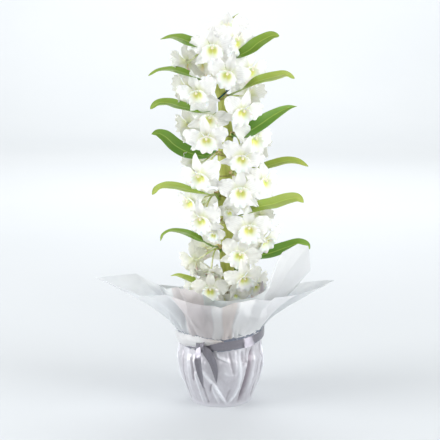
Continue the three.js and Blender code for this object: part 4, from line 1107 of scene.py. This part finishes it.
def lay_creases(draw):
    """Long pleats every few degrees, from the right flank round the back to the left, and others aslant."""
    for i in range(32):
        start = 338 + 6.8 * i + draw.uniform(-2, 2)
        foot = draw.uniform(4, 50)
        lean = draw.uniform(-9, 9)
        height = draw.choice((-1, 1)) * draw.uniform(1.0, 2.8)
        middle = start + 0.3 * lean + draw.uniform(-2, 2)
        line = [(start, 90), (middle, mix(90, foot, 0.5)), (start + lean, foot)]
        CREASES.append((height, draw.uniform(2.5, 5), draw.uniform(3, 9), line))
    for i in range(16):
        start, high = 336 + 13.6 * i + draw.uniform(-4, 4), draw.uniform(45, 85)
        lean = draw.choice((-1, 1)) * draw.uniform(14, 30)
        line = [(start, high), (start + 0.6 * lean, high - 24), (start + lean, max(high - 58, 3))]
        CREASES.append((draw.uniform(0.9, 1.8), draw.uniform(2.5, 4), draw.uniform(2.5, 4), line))


lay_creases(random.Random(5))
print("creases", len(CREASES))

# %% [markdown]
# A crease is highest on its own line and falls to nothing at its width on either side, like the ridge of a
# tent. The heights of all the creases near a point are added up, with small crushed facets between them, and
# the sum moves the point in or out of the sleeve's even shape. The ribbon presses them flat at the neck.

# %% Sleeve shape
MM_A_DEGREE = 1.08  # the length of one degree round the sleeve
FOOT_RADIUS, BELLY_RADIUS, NECK_RADIUS = 45.5, 62.5, 60
BELLY_HEIGHT, SLEEVE_TOP = 68, 104
BOTTOM = 0.1  # the share of the sheet that lies under the pot


def nearest_on(line, degrees, z):
    """How far the place is from the line in mm, on which side, and how far along the line, from 0 to 1."""
    best = (99.0, 1, 0.0)
    for i, ((a, low), (b, high)) in enumerate(zip(line, line[1:])):
        dx, dz = (b - a) * MM_A_DEGREE, high - low
        px, pz = (degrees - a) * MM_A_DEGREE, z - low
        t = min(max((px * dx + pz * dz) / (dx * dx + dz * dz), 0), 1)
        gap = math.hypot(px - t * dx, pz - t * dz)
        if gap < best[0]:
            right = px - t * dx > 0
            best = (gap, right, (i + t) / (len(line) - 1))
    return best


def crease_height(degrees, z):
    total = 0.0
    for height, left, right, line in CREASES:
        reach = max(left, right)
        for turned in (degrees, degrees + 360):
            if min(p[0] for p in line) - reach < turned < max(p[0] for p in line) + reach:
                gap, on_right, along = nearest_on(line, turned, z)
                tent = max(0.0, 1 - gap / (right if on_right else left))
                inner = smooth(0, 0.15, along) * (1 - smooth(0.85, 1, along))  # a crease fades at its ends
                total += height * tent * (0.35 + 0.65 * inner)
    return total


def tilt(angle):
    """How much higher the ribbon runs there: it is wound a little aslant, and drawn up at the left."""
    aside = (math.degrees(angle) % 360 - 203) / 28
    return 2.5 + 6 * math.cos(angle - math.radians(30)) + 3.5 * math.exp(-aside * aside)


def sleeve_radius(z):
    """The even shape: it swells from the foot to the belly, and draws in to the neck."""
    if z < BELLY_HEIGHT:
        return mix(FOOT_RADIUS, BELLY_RADIUS, math.sin(math.pi / 2 * z / BELLY_HEIGHT) ** 1.15)
    return mix(BELLY_RADIUS, NECK_RADIUS, smooth(BELLY_HEIGHT, 80, z))


def crumple(around, size):
    """Flat facets with sharp ridges, as in crushed paper: how far the place is from the middle of a cell."""
    near, next_near = noise.voronoi(around / size)[0][:2]
    return min(next_near - near, 0.7) - 0.3


def sleeve_rule(u, v):
    angle = 2 * math.pi * u
    side = Vector((math.cos(angle), math.sin(angle), 0))
    if v < BOTTOM:
        return side * (45.2 * v / BOTTOM)  # flat, under the pot
    z = SLEEVE_TOP * ((v - BOTTOM) / (1 - BOTTOM))
    pressed = smooth(82, 90, z - tilt(angle))
    low = smooth(0.5, 9, z)  # the foot stands flat, so nothing is creased there
    facets = 1.2 * crumple(side * 62 + Vector((0, 0, 0.6 * z)), 22)
    facets += 0.7 * crumple(side * 62 + Vector((50, 0, 0.8 * z)), 9)
    folds = (crease_height(360 * u, z) + facets) * low * (1 - pressed)
    r = sleeve_radius(z) - 0.4 * low + folds - 0.4 * pressed
    return side * r + Vector((0, 0, z))


print("sleeve radius at its belly", sleeve_radius(BELLY_HEIGHT), "mm")

# %% [markdown]
# Pearl paper carries flakes of mica in its coat. They reflect like soft metal, so the paper is half-way
# between white and silver: where it turns to a window it flashes, and where it turns away it goes grey-lilac.
# The colour also carries painted shade and painted highlight: it is darker grey-lilac down in each fold and
# paler on each crest, so a number at each point keeps how far it stands out of the paper's even shape. A bump
# of small flat cells breaks the flashes up. The coat is a thin varnish over the mica, and the sheen is the
# paper's own fine nap, which pales it where it turns away.

# %% Sleeve
pearl = dict(Roughness=0.5, Metallic=0.42, Coat_Weight=0.4, Coat_Roughness=0.3)
pearl.update(Sheen_Weight=0.35, Sheen_Roughness=0.4)
pearl_paper, shader = new_material("pearl_coated_paper", **pearl)
place = add(pearl_paper, "TexCoord").outputs["Object"]
tall = add(pearl_paper, "Mapping", {"Vector": place, "Scale": (1, 1, 0.55)}).outputs["Vector"]
cells = {"Vector": tall, "Scale": 110}  # cells 9 mm across
cells = add(pearl_paper, "TexVoronoi", cells, feature="DISTANCE_TO_EDGE").outputs["Distance"]
crest = add(pearl_paper, "Attribute", attribute_name="crest").outputs["Fac"]
# painted shade and highlight: the colour runs from grey-lilac down in a fold to near white on a crest
tone = add(pearl_paper, "MapRange", {"Value": crest, "From Min": -3.0, "From Max": 1.4}).outputs["Result"]
tone = {SHARE: tone, UNDER: linear("#857d85"), OVER: linear("#e4e5ea")}
tone = add(pearl_paper, "Mix", tone, data_type="RGBA").outputs[MIXED]
relief = add(pearl_paper, "Bump", {"Height": cells, "Strength": 0.25, "Distance": 0.0015}).outputs["Normal"]
wire(pearl_paper, shader, {"Base Color": tone, "Normal": relief})
sleeve_mesh = bmesh.new()
strip_sheet(sleeve_mesh, across=360, along=100, rule=sleeve_rule, thickness=0.4, ring=True)
# how far each point stands out, which the colour turns into painted shade in folds and painted highlight on
# crests
crest = sleeve_mesh.verts.layers.float.new("crest")
for point in sleeve_mesh.verts:
    point[crest] = point.co.xy.length - sleeve_radius(point.co.z) if point.co.z > 4 else 0
seat(sleeve_mesh, "pearl_sleeve", [pearl_paper], node="paper_sleeve", sharp=9)

# %% [markdown]
# Two square sheets of frosted film are gathered at the neck, where the ribbon holds them. Their corners stand
# out as wings. Each rim is given by its corners: the way that each lies, its radius and its height. Between
# them the edge runs straight, as that of a stiff sheet does, apart from a stretch at the front of the inner
# one, where the tissue paper against it is torn.

# %% Film rims
OUTER_RIM = [
    (0, 166, 176), (20, 118, 160), (50, 100, 148), (90, 92, 140), (130, 97, 143), (150, 112, 156),
    (160, 130, 174), (180, 184, 180), (190, 153, 173), (200, 122, 164), (220, 104, 172), (240, 94, 167),
    (250, 80, 160), (270, 84, 158), (280, 93, 168), (300, 90, 170), (310, 104, 168), (330, 112, 168),
    (350, 140, 172),
]
INNER_RIM = [
    (0, 112, 168), (20, 98, 156), (50, 86, 148), (90, 78, 146), (130, 84, 149), (160, 94, 160),
    (200, 86, 170), (220, 86, 179), (240, 76, 179), (250, 70, 172), (260, 69, 163), (280, 74, 166),
    (300, 82, 170), (310, 100, 184), (320, 114, 233), (330, 121, 243), (340, 124, 236), (350, 126, 196),
]
TIED, HELD = 104, 0.16  # height where the film leaves the ribbon, and the share of it that the ribbon holds


def rim_at(rim, degrees):
    """Radius and height of the rim there. Between two corners it runs straight, as a chord does."""
    closed = [*rim, (360, rim[0][1], rim[0][2])]
    for (low, r_low, z_low), (high, r_high, z_high) in zip(closed, closed[1:]):
        if degrees <= high:
            past, ahead = math.radians(degrees - low), math.radians(high - degrees)
            chord = r_low * math.sin(past) + r_high * math.sin(ahead)
            return r_low * r_high * math.sin(past + ahead) / chord, mix(z_low, z_high, past / (past + ahead))


def torn_edge(degrees):
    """How far the torn edge of the tissue paper, front left, stands above or below an even rim."""
    inside = smooth(216, 219, degrees) * (1 - smooth(249, 252, degrees))
    broad = noise.noise(Vector((0.21 * degrees, 0, 4)))
    fine = noise.noise(Vector((0.55 * degrees, 0, 9)))
    return inside * (3.2 * broad + 1.6 * fine)


print("film", len(OUTER_RIM), "and", len(INNER_RIM), "corners")

# %% [markdown]
# Above the ribbon the film springs out in folds of four kinds, from tight gathers just over the ribbon to
# broad ones that reach the rim. Film is stiff, so a fold has straight sides and a sharp crest. A slow noise
# makes the folds uneven and lets them lean.

# %% Film folds
def fold_wave(turns, crest=0.5):
    """-1 in each fold's valley and 1 on its crest, which lies at that share of the fold."""
    past = turns % 1
    return 2 * (past / crest if past < crest else (1 - past) / (1 - crest)) - 1


def gather(angle, t, seed):
    """The small tight folds just above the ribbon, which open out within a third of the sheet."""
    around = Vector((math.cos(angle), math.sin(angle), 0))
    uneven = noise.noise(around * 3 + Vector((0, 0, seed)))
    depth = 1.6 + 2.4 * noise.noise(around * 5 + Vector((4, 0, seed)))
    return depth * math.sin(37 * angle + 13 * uneven) * smooth(0.0, 0.05, t) * math.exp(-((t / 0.14) ** 2))


def film_rule(rim, waist, fold, seed):
    """The film leaves the ribbon at radius waist, with folds of about that many millimetres."""
    def rule(u, v):
        degrees = min(max(360 * u, 0), 360)
        angle = math.radians(degrees)
        rim_radius, rim_height = rim_at(rim, degrees)
        if rim is INNER_RIM:
            rim_height += torn_edge(degrees)
        t = min(max((v - HELD) / (1 - HELD), 0), 1)  # from the ribbon to the rim
        around = Vector((1.6 * math.cos(angle), 1.6 * math.sin(angle), seed))
        share = max(0.5 + 1.3 * noise.noise(around * 2.1), 0.1)
        lean = 0.25 * noise.noise(around + Vector((0, 0, 1.7 * t)))
        tight = smooth(0, 0.15, t) * (1 - 0.85 * smooth(0.2, 0.8, t)) * fold_wave(24 * u + 4 * lean, 0.65)
        broad = 2.2 * smooth(0.05, 0.6, t) * fold_wave(8 * u + 2.2 * lean, 0.6)
        slant = 1.6 * t * fold_wave(6 * u + 0.7 * t + 2 * lean)
        pleats = fold * (share * tight + broad) + slant
        r = waist + (rim_radius - waist) * t**1.15 + pleats + gather(angle, t, seed)
        tied = TIED + tilt(angle)
        z = mix(tied - 15, tied, v / HELD) if v < HELD else tied + (rim_height - tied) * t**0.9
        return Vector((r * math.cos(angle), r * math.sin(angle), z))

    return rule


print("film leaves the ribbon at", TIED, "mm")

# %% [markdown]
# At the left the outer sheet lops over the ribbon in a soft roll, and at the right a corner of the tissue
# paper stands up inside the film. Each is a sheet of its own that goes into the same mesh as the film.

# %% Roll and tissue corner
ROLL = [
    (186, 97, 104), (196, 91.5, 107), (215, 89.5, 109.5), (230, 92, 110), (248, 96, 109), (259, 99.5, 107.5),
    (271, 103.4, 104.4),
]  # the soft roll's lower and upper edge at each place round the neck


def roll_rule(u, v):
    """The outer sheet lops down over the ribbon in a soft roll, from the left flank past the knot."""
    degrees = mix(ROLL[0][0], ROLL[-1][0], u)
    i = next(i for i, place in enumerate(ROLL[1:]) if degrees <= place[0] + 1e-6)
    past = (degrees - ROLL[i][0]) / (ROLL[i + 1][0] - ROLL[i][0])
    low, high = [mix(ROLL[i][k], ROLL[i + 1][k], past) for k in (1, 2)]
    around = math.sin(math.pi * v)
    ragged = 0.3 * fold_wave(23 * u) + 1.6 * noise.noise(Vector((7 * u, 3, 0)))
    crease = 1.6 * noise.noise(Vector((6 * u - 1.5 * v, 2.2 * v, 7))) + 0.3 * fold_wave(9 * u - 1.6 * v, 0.7)
    r = 63.2 + (0.27 * (high - low) + crease) * around**0.7
    z = mix(high, low, v) + ragged * (high - low) / 18
    angle = math.radians(degrees)
    return Vector((r * math.cos(angle), r * math.sin(angle), z))


TIP_LINE = [Vector((47, -31, 112)), Vector((53, -36, 140)), Vector((56, -38, 160)), Vector((58, -38, 184))]


def tip_rule(u, v):
    """A corner of the tissue paper that stands up inside the film, at the right."""
    half = 7.5 * (1 - v**2.5) + 0.2
    aside, out = Vector((0.8, 0.6, 0)), Vector((0.5, -0.8, 0))
    return smooth_line(TIP_LINE, v) + aside * (half * (2 * u - 1)) + out * fold_wave(1.5 * u)


print("roll from", ROLL[0][0], "to", ROLL[-1][0], "degrees")

# %% [markdown]
# Frosted film is clear plastic, embossed or brushed so finely that it scatters what passes: milky white, see
# through only where something is close behind, with a soft gloss. Some of the light goes straight through,
# which is the alpha, and some is spread by the sheet, which is the subsurface share. At the front, warm grey
# panels of tissue paper lie against the film, and at places the film is doubled and so whiter. Grey-blue
# painted shade darkens the gathered folds just above the ribbon and the roll's upper edge, and a cool grey
# panel of painted shade marks the inside of the inner sheet at the front. All of this follows the sheet's
# UVs, with u round it and v from the neck to the rim. The roll and the tissue corner have UVs that start at 2,
# so their panels are their own. The film's milkiness wanders in clouds 45 mm across, and its crinkles are 17
# to 20 mm wide.

# %% Film material
EXTRA = 2  # where the UVs of the roll and of the tissue corner start
RAGGED = 0.03  # how far a panel's torn edge wanders, as a share of the turn


def film_material(name, light, shade, alpha, panels):
    """Each panel is the share of the turn where it starts and ends, how soft its edge is, its colour and its
    opacity. Most are tissue paper that lies against the film or parts where the film is doubled, and one on
    the inner sheet is painted shade."""
    frost = dict(Roughness=0.32, IOR=1.4, Subsurface_Weight=0.7, Subsurface_Scale=0.003)
    film, shader = new_material(name, **frost)
    shader.inputs["Subsurface Radius"].default_value = (1, 1, 1)
    place = add(film, "TexCoord").outputs["Object"]
    cloud = add(film, "TexNoise", {"Vector": place, "Scale": 22, "Detail": 3}).outputs["Fac"]
    spread = add(film, "MapRange", {"Value": cloud, "From Min": 0.35, "From Max": 0.65}).outputs["Result"]
    tone = {SHARE: spread, UNDER: linear(shade), OVER: linear(light)}
    tone = add(film, "Mix", tone, data_type="RGBA").outputs[MIXED]
    sheet = add(film, "TexCoord").outputs["UV"]
    parts = add(film, "SeparateXYZ", {"Vector": sheet}).outputs
    solid = {"Value": cloud, "To Min": alpha - 0.04, "To Max": alpha + 0.04}
    solid = add(film, "MapRange", solid).outputs["Result"]
    torn = add(film, "Math", {0: cloud, 1: RAGGED, 2: parts["X"]}, operation="MULTIPLY_ADD").outputs[0]
    for start, end, soft, colour, opacity in panels:
        start, end = start + RAGGED / 2, end + RAGGED / 2
        enters = add(film, "MapRange", {"Value": torn, "From Min": start - soft, "From Max": start + soft})
        leaves = add(film, "MapRange", {"Value": torn, "From Min": end - soft, "From Max": end + soft})
        inside = {0: enters.outputs["Result"], 1: leaves.outputs["Result"]}
        inside = add(film, "Math", inside, operation="SUBTRACT").outputs[0]
        tone = {SHARE: inside, UNDER: tone, OVER: linear(colour)}
        tone = add(film, "Mix", tone, data_type="RGBA").outputs[MIXED]
        # the sockets of a Mix node for numbers are 0, 2 and 3, and its result is 0
        solid = add(film, "Mix", {0: inside, 2: solid, 3: opacity}).outputs[0]
    # painted shade: grey-blue marks, patchy by this noise, darken the folds just above the ribbon and the
    # roll's upper edge
    crease_shade_noise = add(film, "Mapping", {"Vector": sheet, "Scale": (46, 22, 1)}).outputs["Vector"]
    crease_shade_noise = add(film, "TexNoise", {"Vector": crease_shade_noise, "Scale": 1.0, "Detail": 3}).outputs["Fac"]
    near = {"Value": parts["Y"], "From Min": HELD, "From Max": HELD + 0.12, "To Min": 0.38, "To Max": 0.0}
    near = add(film, "MapRange", near).outputs["Result"]
    # the roll's upper edge gets the painted shade too
    roll = {"Value": parts["Y"], "From Min": EXTRA - 0.1, "From Max": EXTRA, "To Max": 0.43}
    roll = add(film, "MapRange", roll)
    past = {"Value": parts["Y"], "From Min": EXTRA + 0.02, "From Max": EXTRA + 0.2, "To Max": 0.43}
    past = add(film, "MapRange", past)
    roll = add(film, "Math", {0: roll.outputs["Result"], 1: past.outputs["Result"]}, operation="SUBTRACT")
    near = add(film, "Math", {0: near, 1: roll.outputs[0]}, operation="ADD").outputs[0]
    painted_crease_shade = add(film, "Math", {0: near, 1: crease_shade_noise}, operation="ADD").outputs[0]
    painted_crease_shade = add(film, "MapRange", {"Value": painted_crease_shade, "From Min": 0.76, "From Max": 0.86}).outputs["Result"]
    tone = {SHARE: painted_crease_shade, UNDER: tone, OVER: linear("#787f8e")}
    tone = add(film, "Mix", tone, data_type="RGBA").outputs[MIXED]
    crinkle = {"Vector": place, "Scale": 60, "Detail": 2, "Distortion": 0.8}
    crinkle = add(film, "TexNoise", crinkle).outputs["Fac"]
    cells = {"Vector": place, "Scale": 50}
    cells = add(film, "TexVoronoi", cells, feature="DISTANCE_TO_EDGE").outputs["Distance"]
    relief = add(film, "Bump", {"Height": crinkle, "Strength": 0.3, "Distance": 0.0015}).outputs["Normal"]
    relief = {"Height": cells, "Strength": 0.3, "Distance": 0.0015, "Normal": relief}
    relief = add(film, "Bump", relief).outputs["Normal"]
    wire(film, shader, {"Base Color": tone, "Alpha": solid, "Normal": relief})
    return film


EXTRA_STARTS, EXTRA_ENDS = EXTRA - 0.1, EXTRA + 1.1  # a panel between them covers the whole extra sheet
outer_film = film_material("frosted_outer_film", "#e6eaed", "#dce1e5", 0.76, panels=[
    (0.79, 0.925, 0.004, "#fbfcfd", 0.93),
    (0.722, 0.752, 0.003, "#dddbdb", 0.93),
    (0.628, 0.722, 0.003, "#cdc6c7", 0.95),
    (0.752, 0.788, 0.004, "#ccc1bd", 0.95),
    (EXTRA_STARTS, EXTRA_ENDS, 0.01, "#fafafb", 0.97),
    (EXTRA + 0.78, EXTRA_ENDS, 0.12, "#cfc7c2", 0.97),
])
inner_film = film_material("frosted_inner_film", "#e4e9ed", "#d9dfe3", 0.87, panels=[
    # a greyer stretch of film at the tall corner on the right
    (0.87, 0.985, 0.02, "#d3d5d9", 0.88),
    (0.604, 0.69, 0.003, "#c9c1c4", 0.95),
    # painted shade: a cool grey panel where the inside of the inner sheet lies in shade at the front
    (0.69, 0.765, 0.003, "#bfcace", 0.9),
    (EXTRA_STARTS, EXTRA_ENDS, 0.01, "#b5aab2", 0.97),
])
print("materials", outer_film.name, inner_film.name)

# %% [markdown]
# Each sheet goes round the neck as a ring, the inner one a millimetre closer in. The roll is added to the
# outer sheet and the tissue corner to the inner one, so that each is part of the piece that it grows out of.

# %% Film sheets
FILM_THICKNESS = 0.25  # thicker than the real 0.05 mm, so that it holds as a solid sheet


def add_extra(mesh, across, along, rule):
    """A further sheet of the same material. Its UVs are moved aside, to panels of their own."""
    before = set(mesh.faces)
    strip_sheet(mesh, across, along, rule, FILM_THICKNESS)
    uv = mesh.loops.layers.uv.verify()
    for face in mesh.faces:
        if face not in before:
            for loop in face.loops:
                loop[uv].uv += Vector((EXTRA, EXTRA))


inner_sheet = bmesh.new()
inner_rule = film_rule(INNER_RIM, waist=61.1, fold=2.0, seed=5)
strip_sheet(inner_sheet, 360, 48, inner_rule, FILM_THICKNESS, ring=True)
add_extra(inner_sheet, 8, 24, tip_rule)
seat(inner_sheet, "film_inner_sheet", [inner_film], node="film_inner", sharp=35)

outer_sheet = bmesh.new()
outer_rule = film_rule(OUTER_RIM, waist=62.2, fold=2.2, seed=5)
strip_sheet(outer_sheet, 360, 48, outer_rule, FILM_THICKNESS, ring=True)
add_extra(outer_sheet, 90, 20, roll_rule)
seat(outer_sheet, "film_outer_sheet", [outer_film], node="film_outer", sharp=35)

# %% [markdown]
# A satin ribbon, 13 mm wide, is wound round the neck and knotted at the front, left of the middle. Satin is
# woven so that its face is nearly all lengthwise threads, which is why it flashes along its width: the shine
# is drawn out one way, and partly metallic, as the sheen of tight polyester threads is.

# %% Ribbon satin
gloss = dict(Roughness=0.3, IOR=1.6, Metallic=0.65, Sheen_Weight=0.15, Anisotropic=0.4)
satin, shader = new_material("satin_ribbon", **gloss)
place = add(satin, "TexCoord").outputs["Object"]
# The true threads are 0.1 mm apart. They are drawn 0.6 mm apart, so that they show.
threads = add(satin, "Mapping", {"Vector": place, "Scale": (500, 500, 1700)}).outputs["Vector"]
threads = add(satin, "TexNoise", {"Vector": threads, "Scale": 1.0, "Detail": 2}).outputs["Fac"]
tone = {SHARE: threads, UNDER: linear("#706d75"), OVER: linear("#8b8990")}
tone = add(satin, "Mix", tone, data_type="RGBA").outputs[MIXED]
relief = add(satin, "Bump", {"Height": threads, "Strength": 0.2, "Distance": 0.0003}).outputs["Normal"]
wire(satin, shader, {"Base Color": tone, "Normal": relief})
print("material", satin.name)

# %% [markdown]
# The band is a ring of sheet with a few soft creases, pinched where the knot draws it together. On the right
# it is folded so that one stretch leans back and catches the window.

# %% Ribbon band
RIBBON_THICKNESS = 0.3
BAND_RADIUS = 63.0
KNOT_AT = 243  # degrees round the neck


def band_rule(u, v):
    angle = 2 * math.pi * u
    side = Vector((math.cos(angle), math.sin(angle), 0))
    crease = 0.35 * noise.noise(Vector((6 * math.cos(angle), 6 * math.sin(angle), 3 * v)))
    pinch = math.exp(-(((angle - math.radians(KNOT_AT)) / 0.22) ** 2))
    height = mix(mix(90.3, 102.7, v), 96.5, 0.35 * pinch) + tilt(angle)
    degrees = 360 * u
    flash = 4.4 * (1 - v) * smooth(298.5, 299.8, degrees) * (1 - smooth(315.4, 316.6, degrees))
    r = BAND_RADIUS + crease + flash + 0.9 * pinch * math.sin(9 * v)
    return side * r + Vector((0, 0, height))


band_mesh = bmesh.new()
strip_sheet(band_mesh, 240, 12, band_rule, RIBBON_THICKNESS, ring=True)
band = seat(band_mesh, "ribbon_ring", [satin], node="ribbon_band")

# %% [markdown]
# Two tails hang from the knot. Each is a strip that follows a smooth line, with a width at each place on it.
# By the knot it lies flat and turned aside, and lower down it is folded along its middle, so it is narrower
# than the ribbon that it was cut from.

# %% Ribbon tails
TAILS = [
    [(-31, -61, 95.5, 6), (-32, -63.6, 88, 10), (-32.5, -67, 79, 10), (-31.5, -67.2, 70, 9),
     (-29.5, -66.4, 58, 8.5), (-27, -66.5, 47, 6), (-25, -66.5, 37, 0.8)],
    [(-27, -63, 96, 7), (-19, -66, 88, 12), (-12, -68, 76, 11.5), (-8.5, -68.5, 63, 8), (-7, -68, 53, 4.5),
     (-6.5, -67.5, 45, 0.8)],
]  # places down the middle of each tail, with its width there as it is folded


def tail_rule(stations, twist):
    line = [Vector(station[:3]) for station in stations]

    def rule(u, v):
        centre = smooth_line(line, v)
        way = (smooth_line(line, v + 0.01) - smooth_line(line, v - 0.01)).normalized()
        out = Vector((centre.x, centre.y, 0)).normalized()
        across = way.cross(out).normalized()
        s = 2 * u - 1
        past = min(v * (len(stations) - 1), len(stations) - 1.001)
        half = mix(stations[int(past)][3], stations[int(past) + 1][3], past % 1) / 2
        hangs = smooth(0.2, 0.45, v)  # 0 by the knot and 1 below
        cup = 0.35 * half * hangs * (abs(s) ** 1.3 - 0.5) + twist * 0.25 * half * s * hangs * math.sin(5 * v)
        return centre + (across - out * (0.3 * twist * (1 - hangs))) * (s * half) + out * cup

    return rule


print("tails", len(TAILS))

# %% [markdown]
# The knot is a narrow turn of ribbon round the band, with a short loop, its ear, that stands out to the left.
# Both are rings of sheet.

# %% Knot
KNOT = Vector((-25.5, -61.8, 94.5))


def strap_rule(u, v):
    """The narrow turn of ribbon that ties the knot: it wraps over the band from below to above."""
    angle = 2 * math.pi * u
    s = 2 * v - 1
    out = 3.4 * math.cos(angle) + 0.5 * math.sin(3 * math.pi * v + 1) - 0.5 * s * s
    turn = Matrix.Rotation(math.radians(-24), 3, "Z")
    aside = 3.0 * s * (1 - 0.2 * math.cos(angle) ** 2)
    return turn @ Vector((aside, -out, 7.4 * math.sin(angle) + 0.8 * s)) + KNOT


def ear_rule(u, v):
    """The short loop that stands out of the knot to the left."""
    angle = 2 * math.pi * u
    turn = Matrix.Rotation(math.radians(-27), 3, "Z")
    up = mix(-4.4, 4.6, v) * (1 - 0.12 * math.cos(angle))
    open_out = Vector((5.2 * math.cos(angle) - 5.5, -2.2 * math.sin(angle), up))
    return turn @ open_out + KNOT + Vector((0, 0, 0.8))


knot_mesh = bmesh.new()
strip_sheet(knot_mesh, 40, 8, strap_rule, RIBBON_THICKNESS, ring=True)
strip_sheet(knot_mesh, 32, 10, ear_rule, RIBBON_THICKNESS, ring=True)
for stations, twist in zip(TAILS, (1, -1)):
    strip_sheet(knot_mesh, 10, 48, tail_rule(stations, twist), RIBBON_THICKNESS)
tails = seat(knot_mesh, "ribbon_knot_and_tails", [satin], node="ribbon_knot")

# %% [markdown]
# The last cell prints the finished piece's box beside the imported solids' box: the two should nearly agree.

# %% Finish
dressed_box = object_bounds()
boxes = {"cad": [list(corner) for corner in solid_box], "visual": [list(corner) for corner in dressed_box]}
for name, (low, high) in boxes.items():
    print(name, [round(1000 * c) for c in low], [round(1000 * c) for c in high])
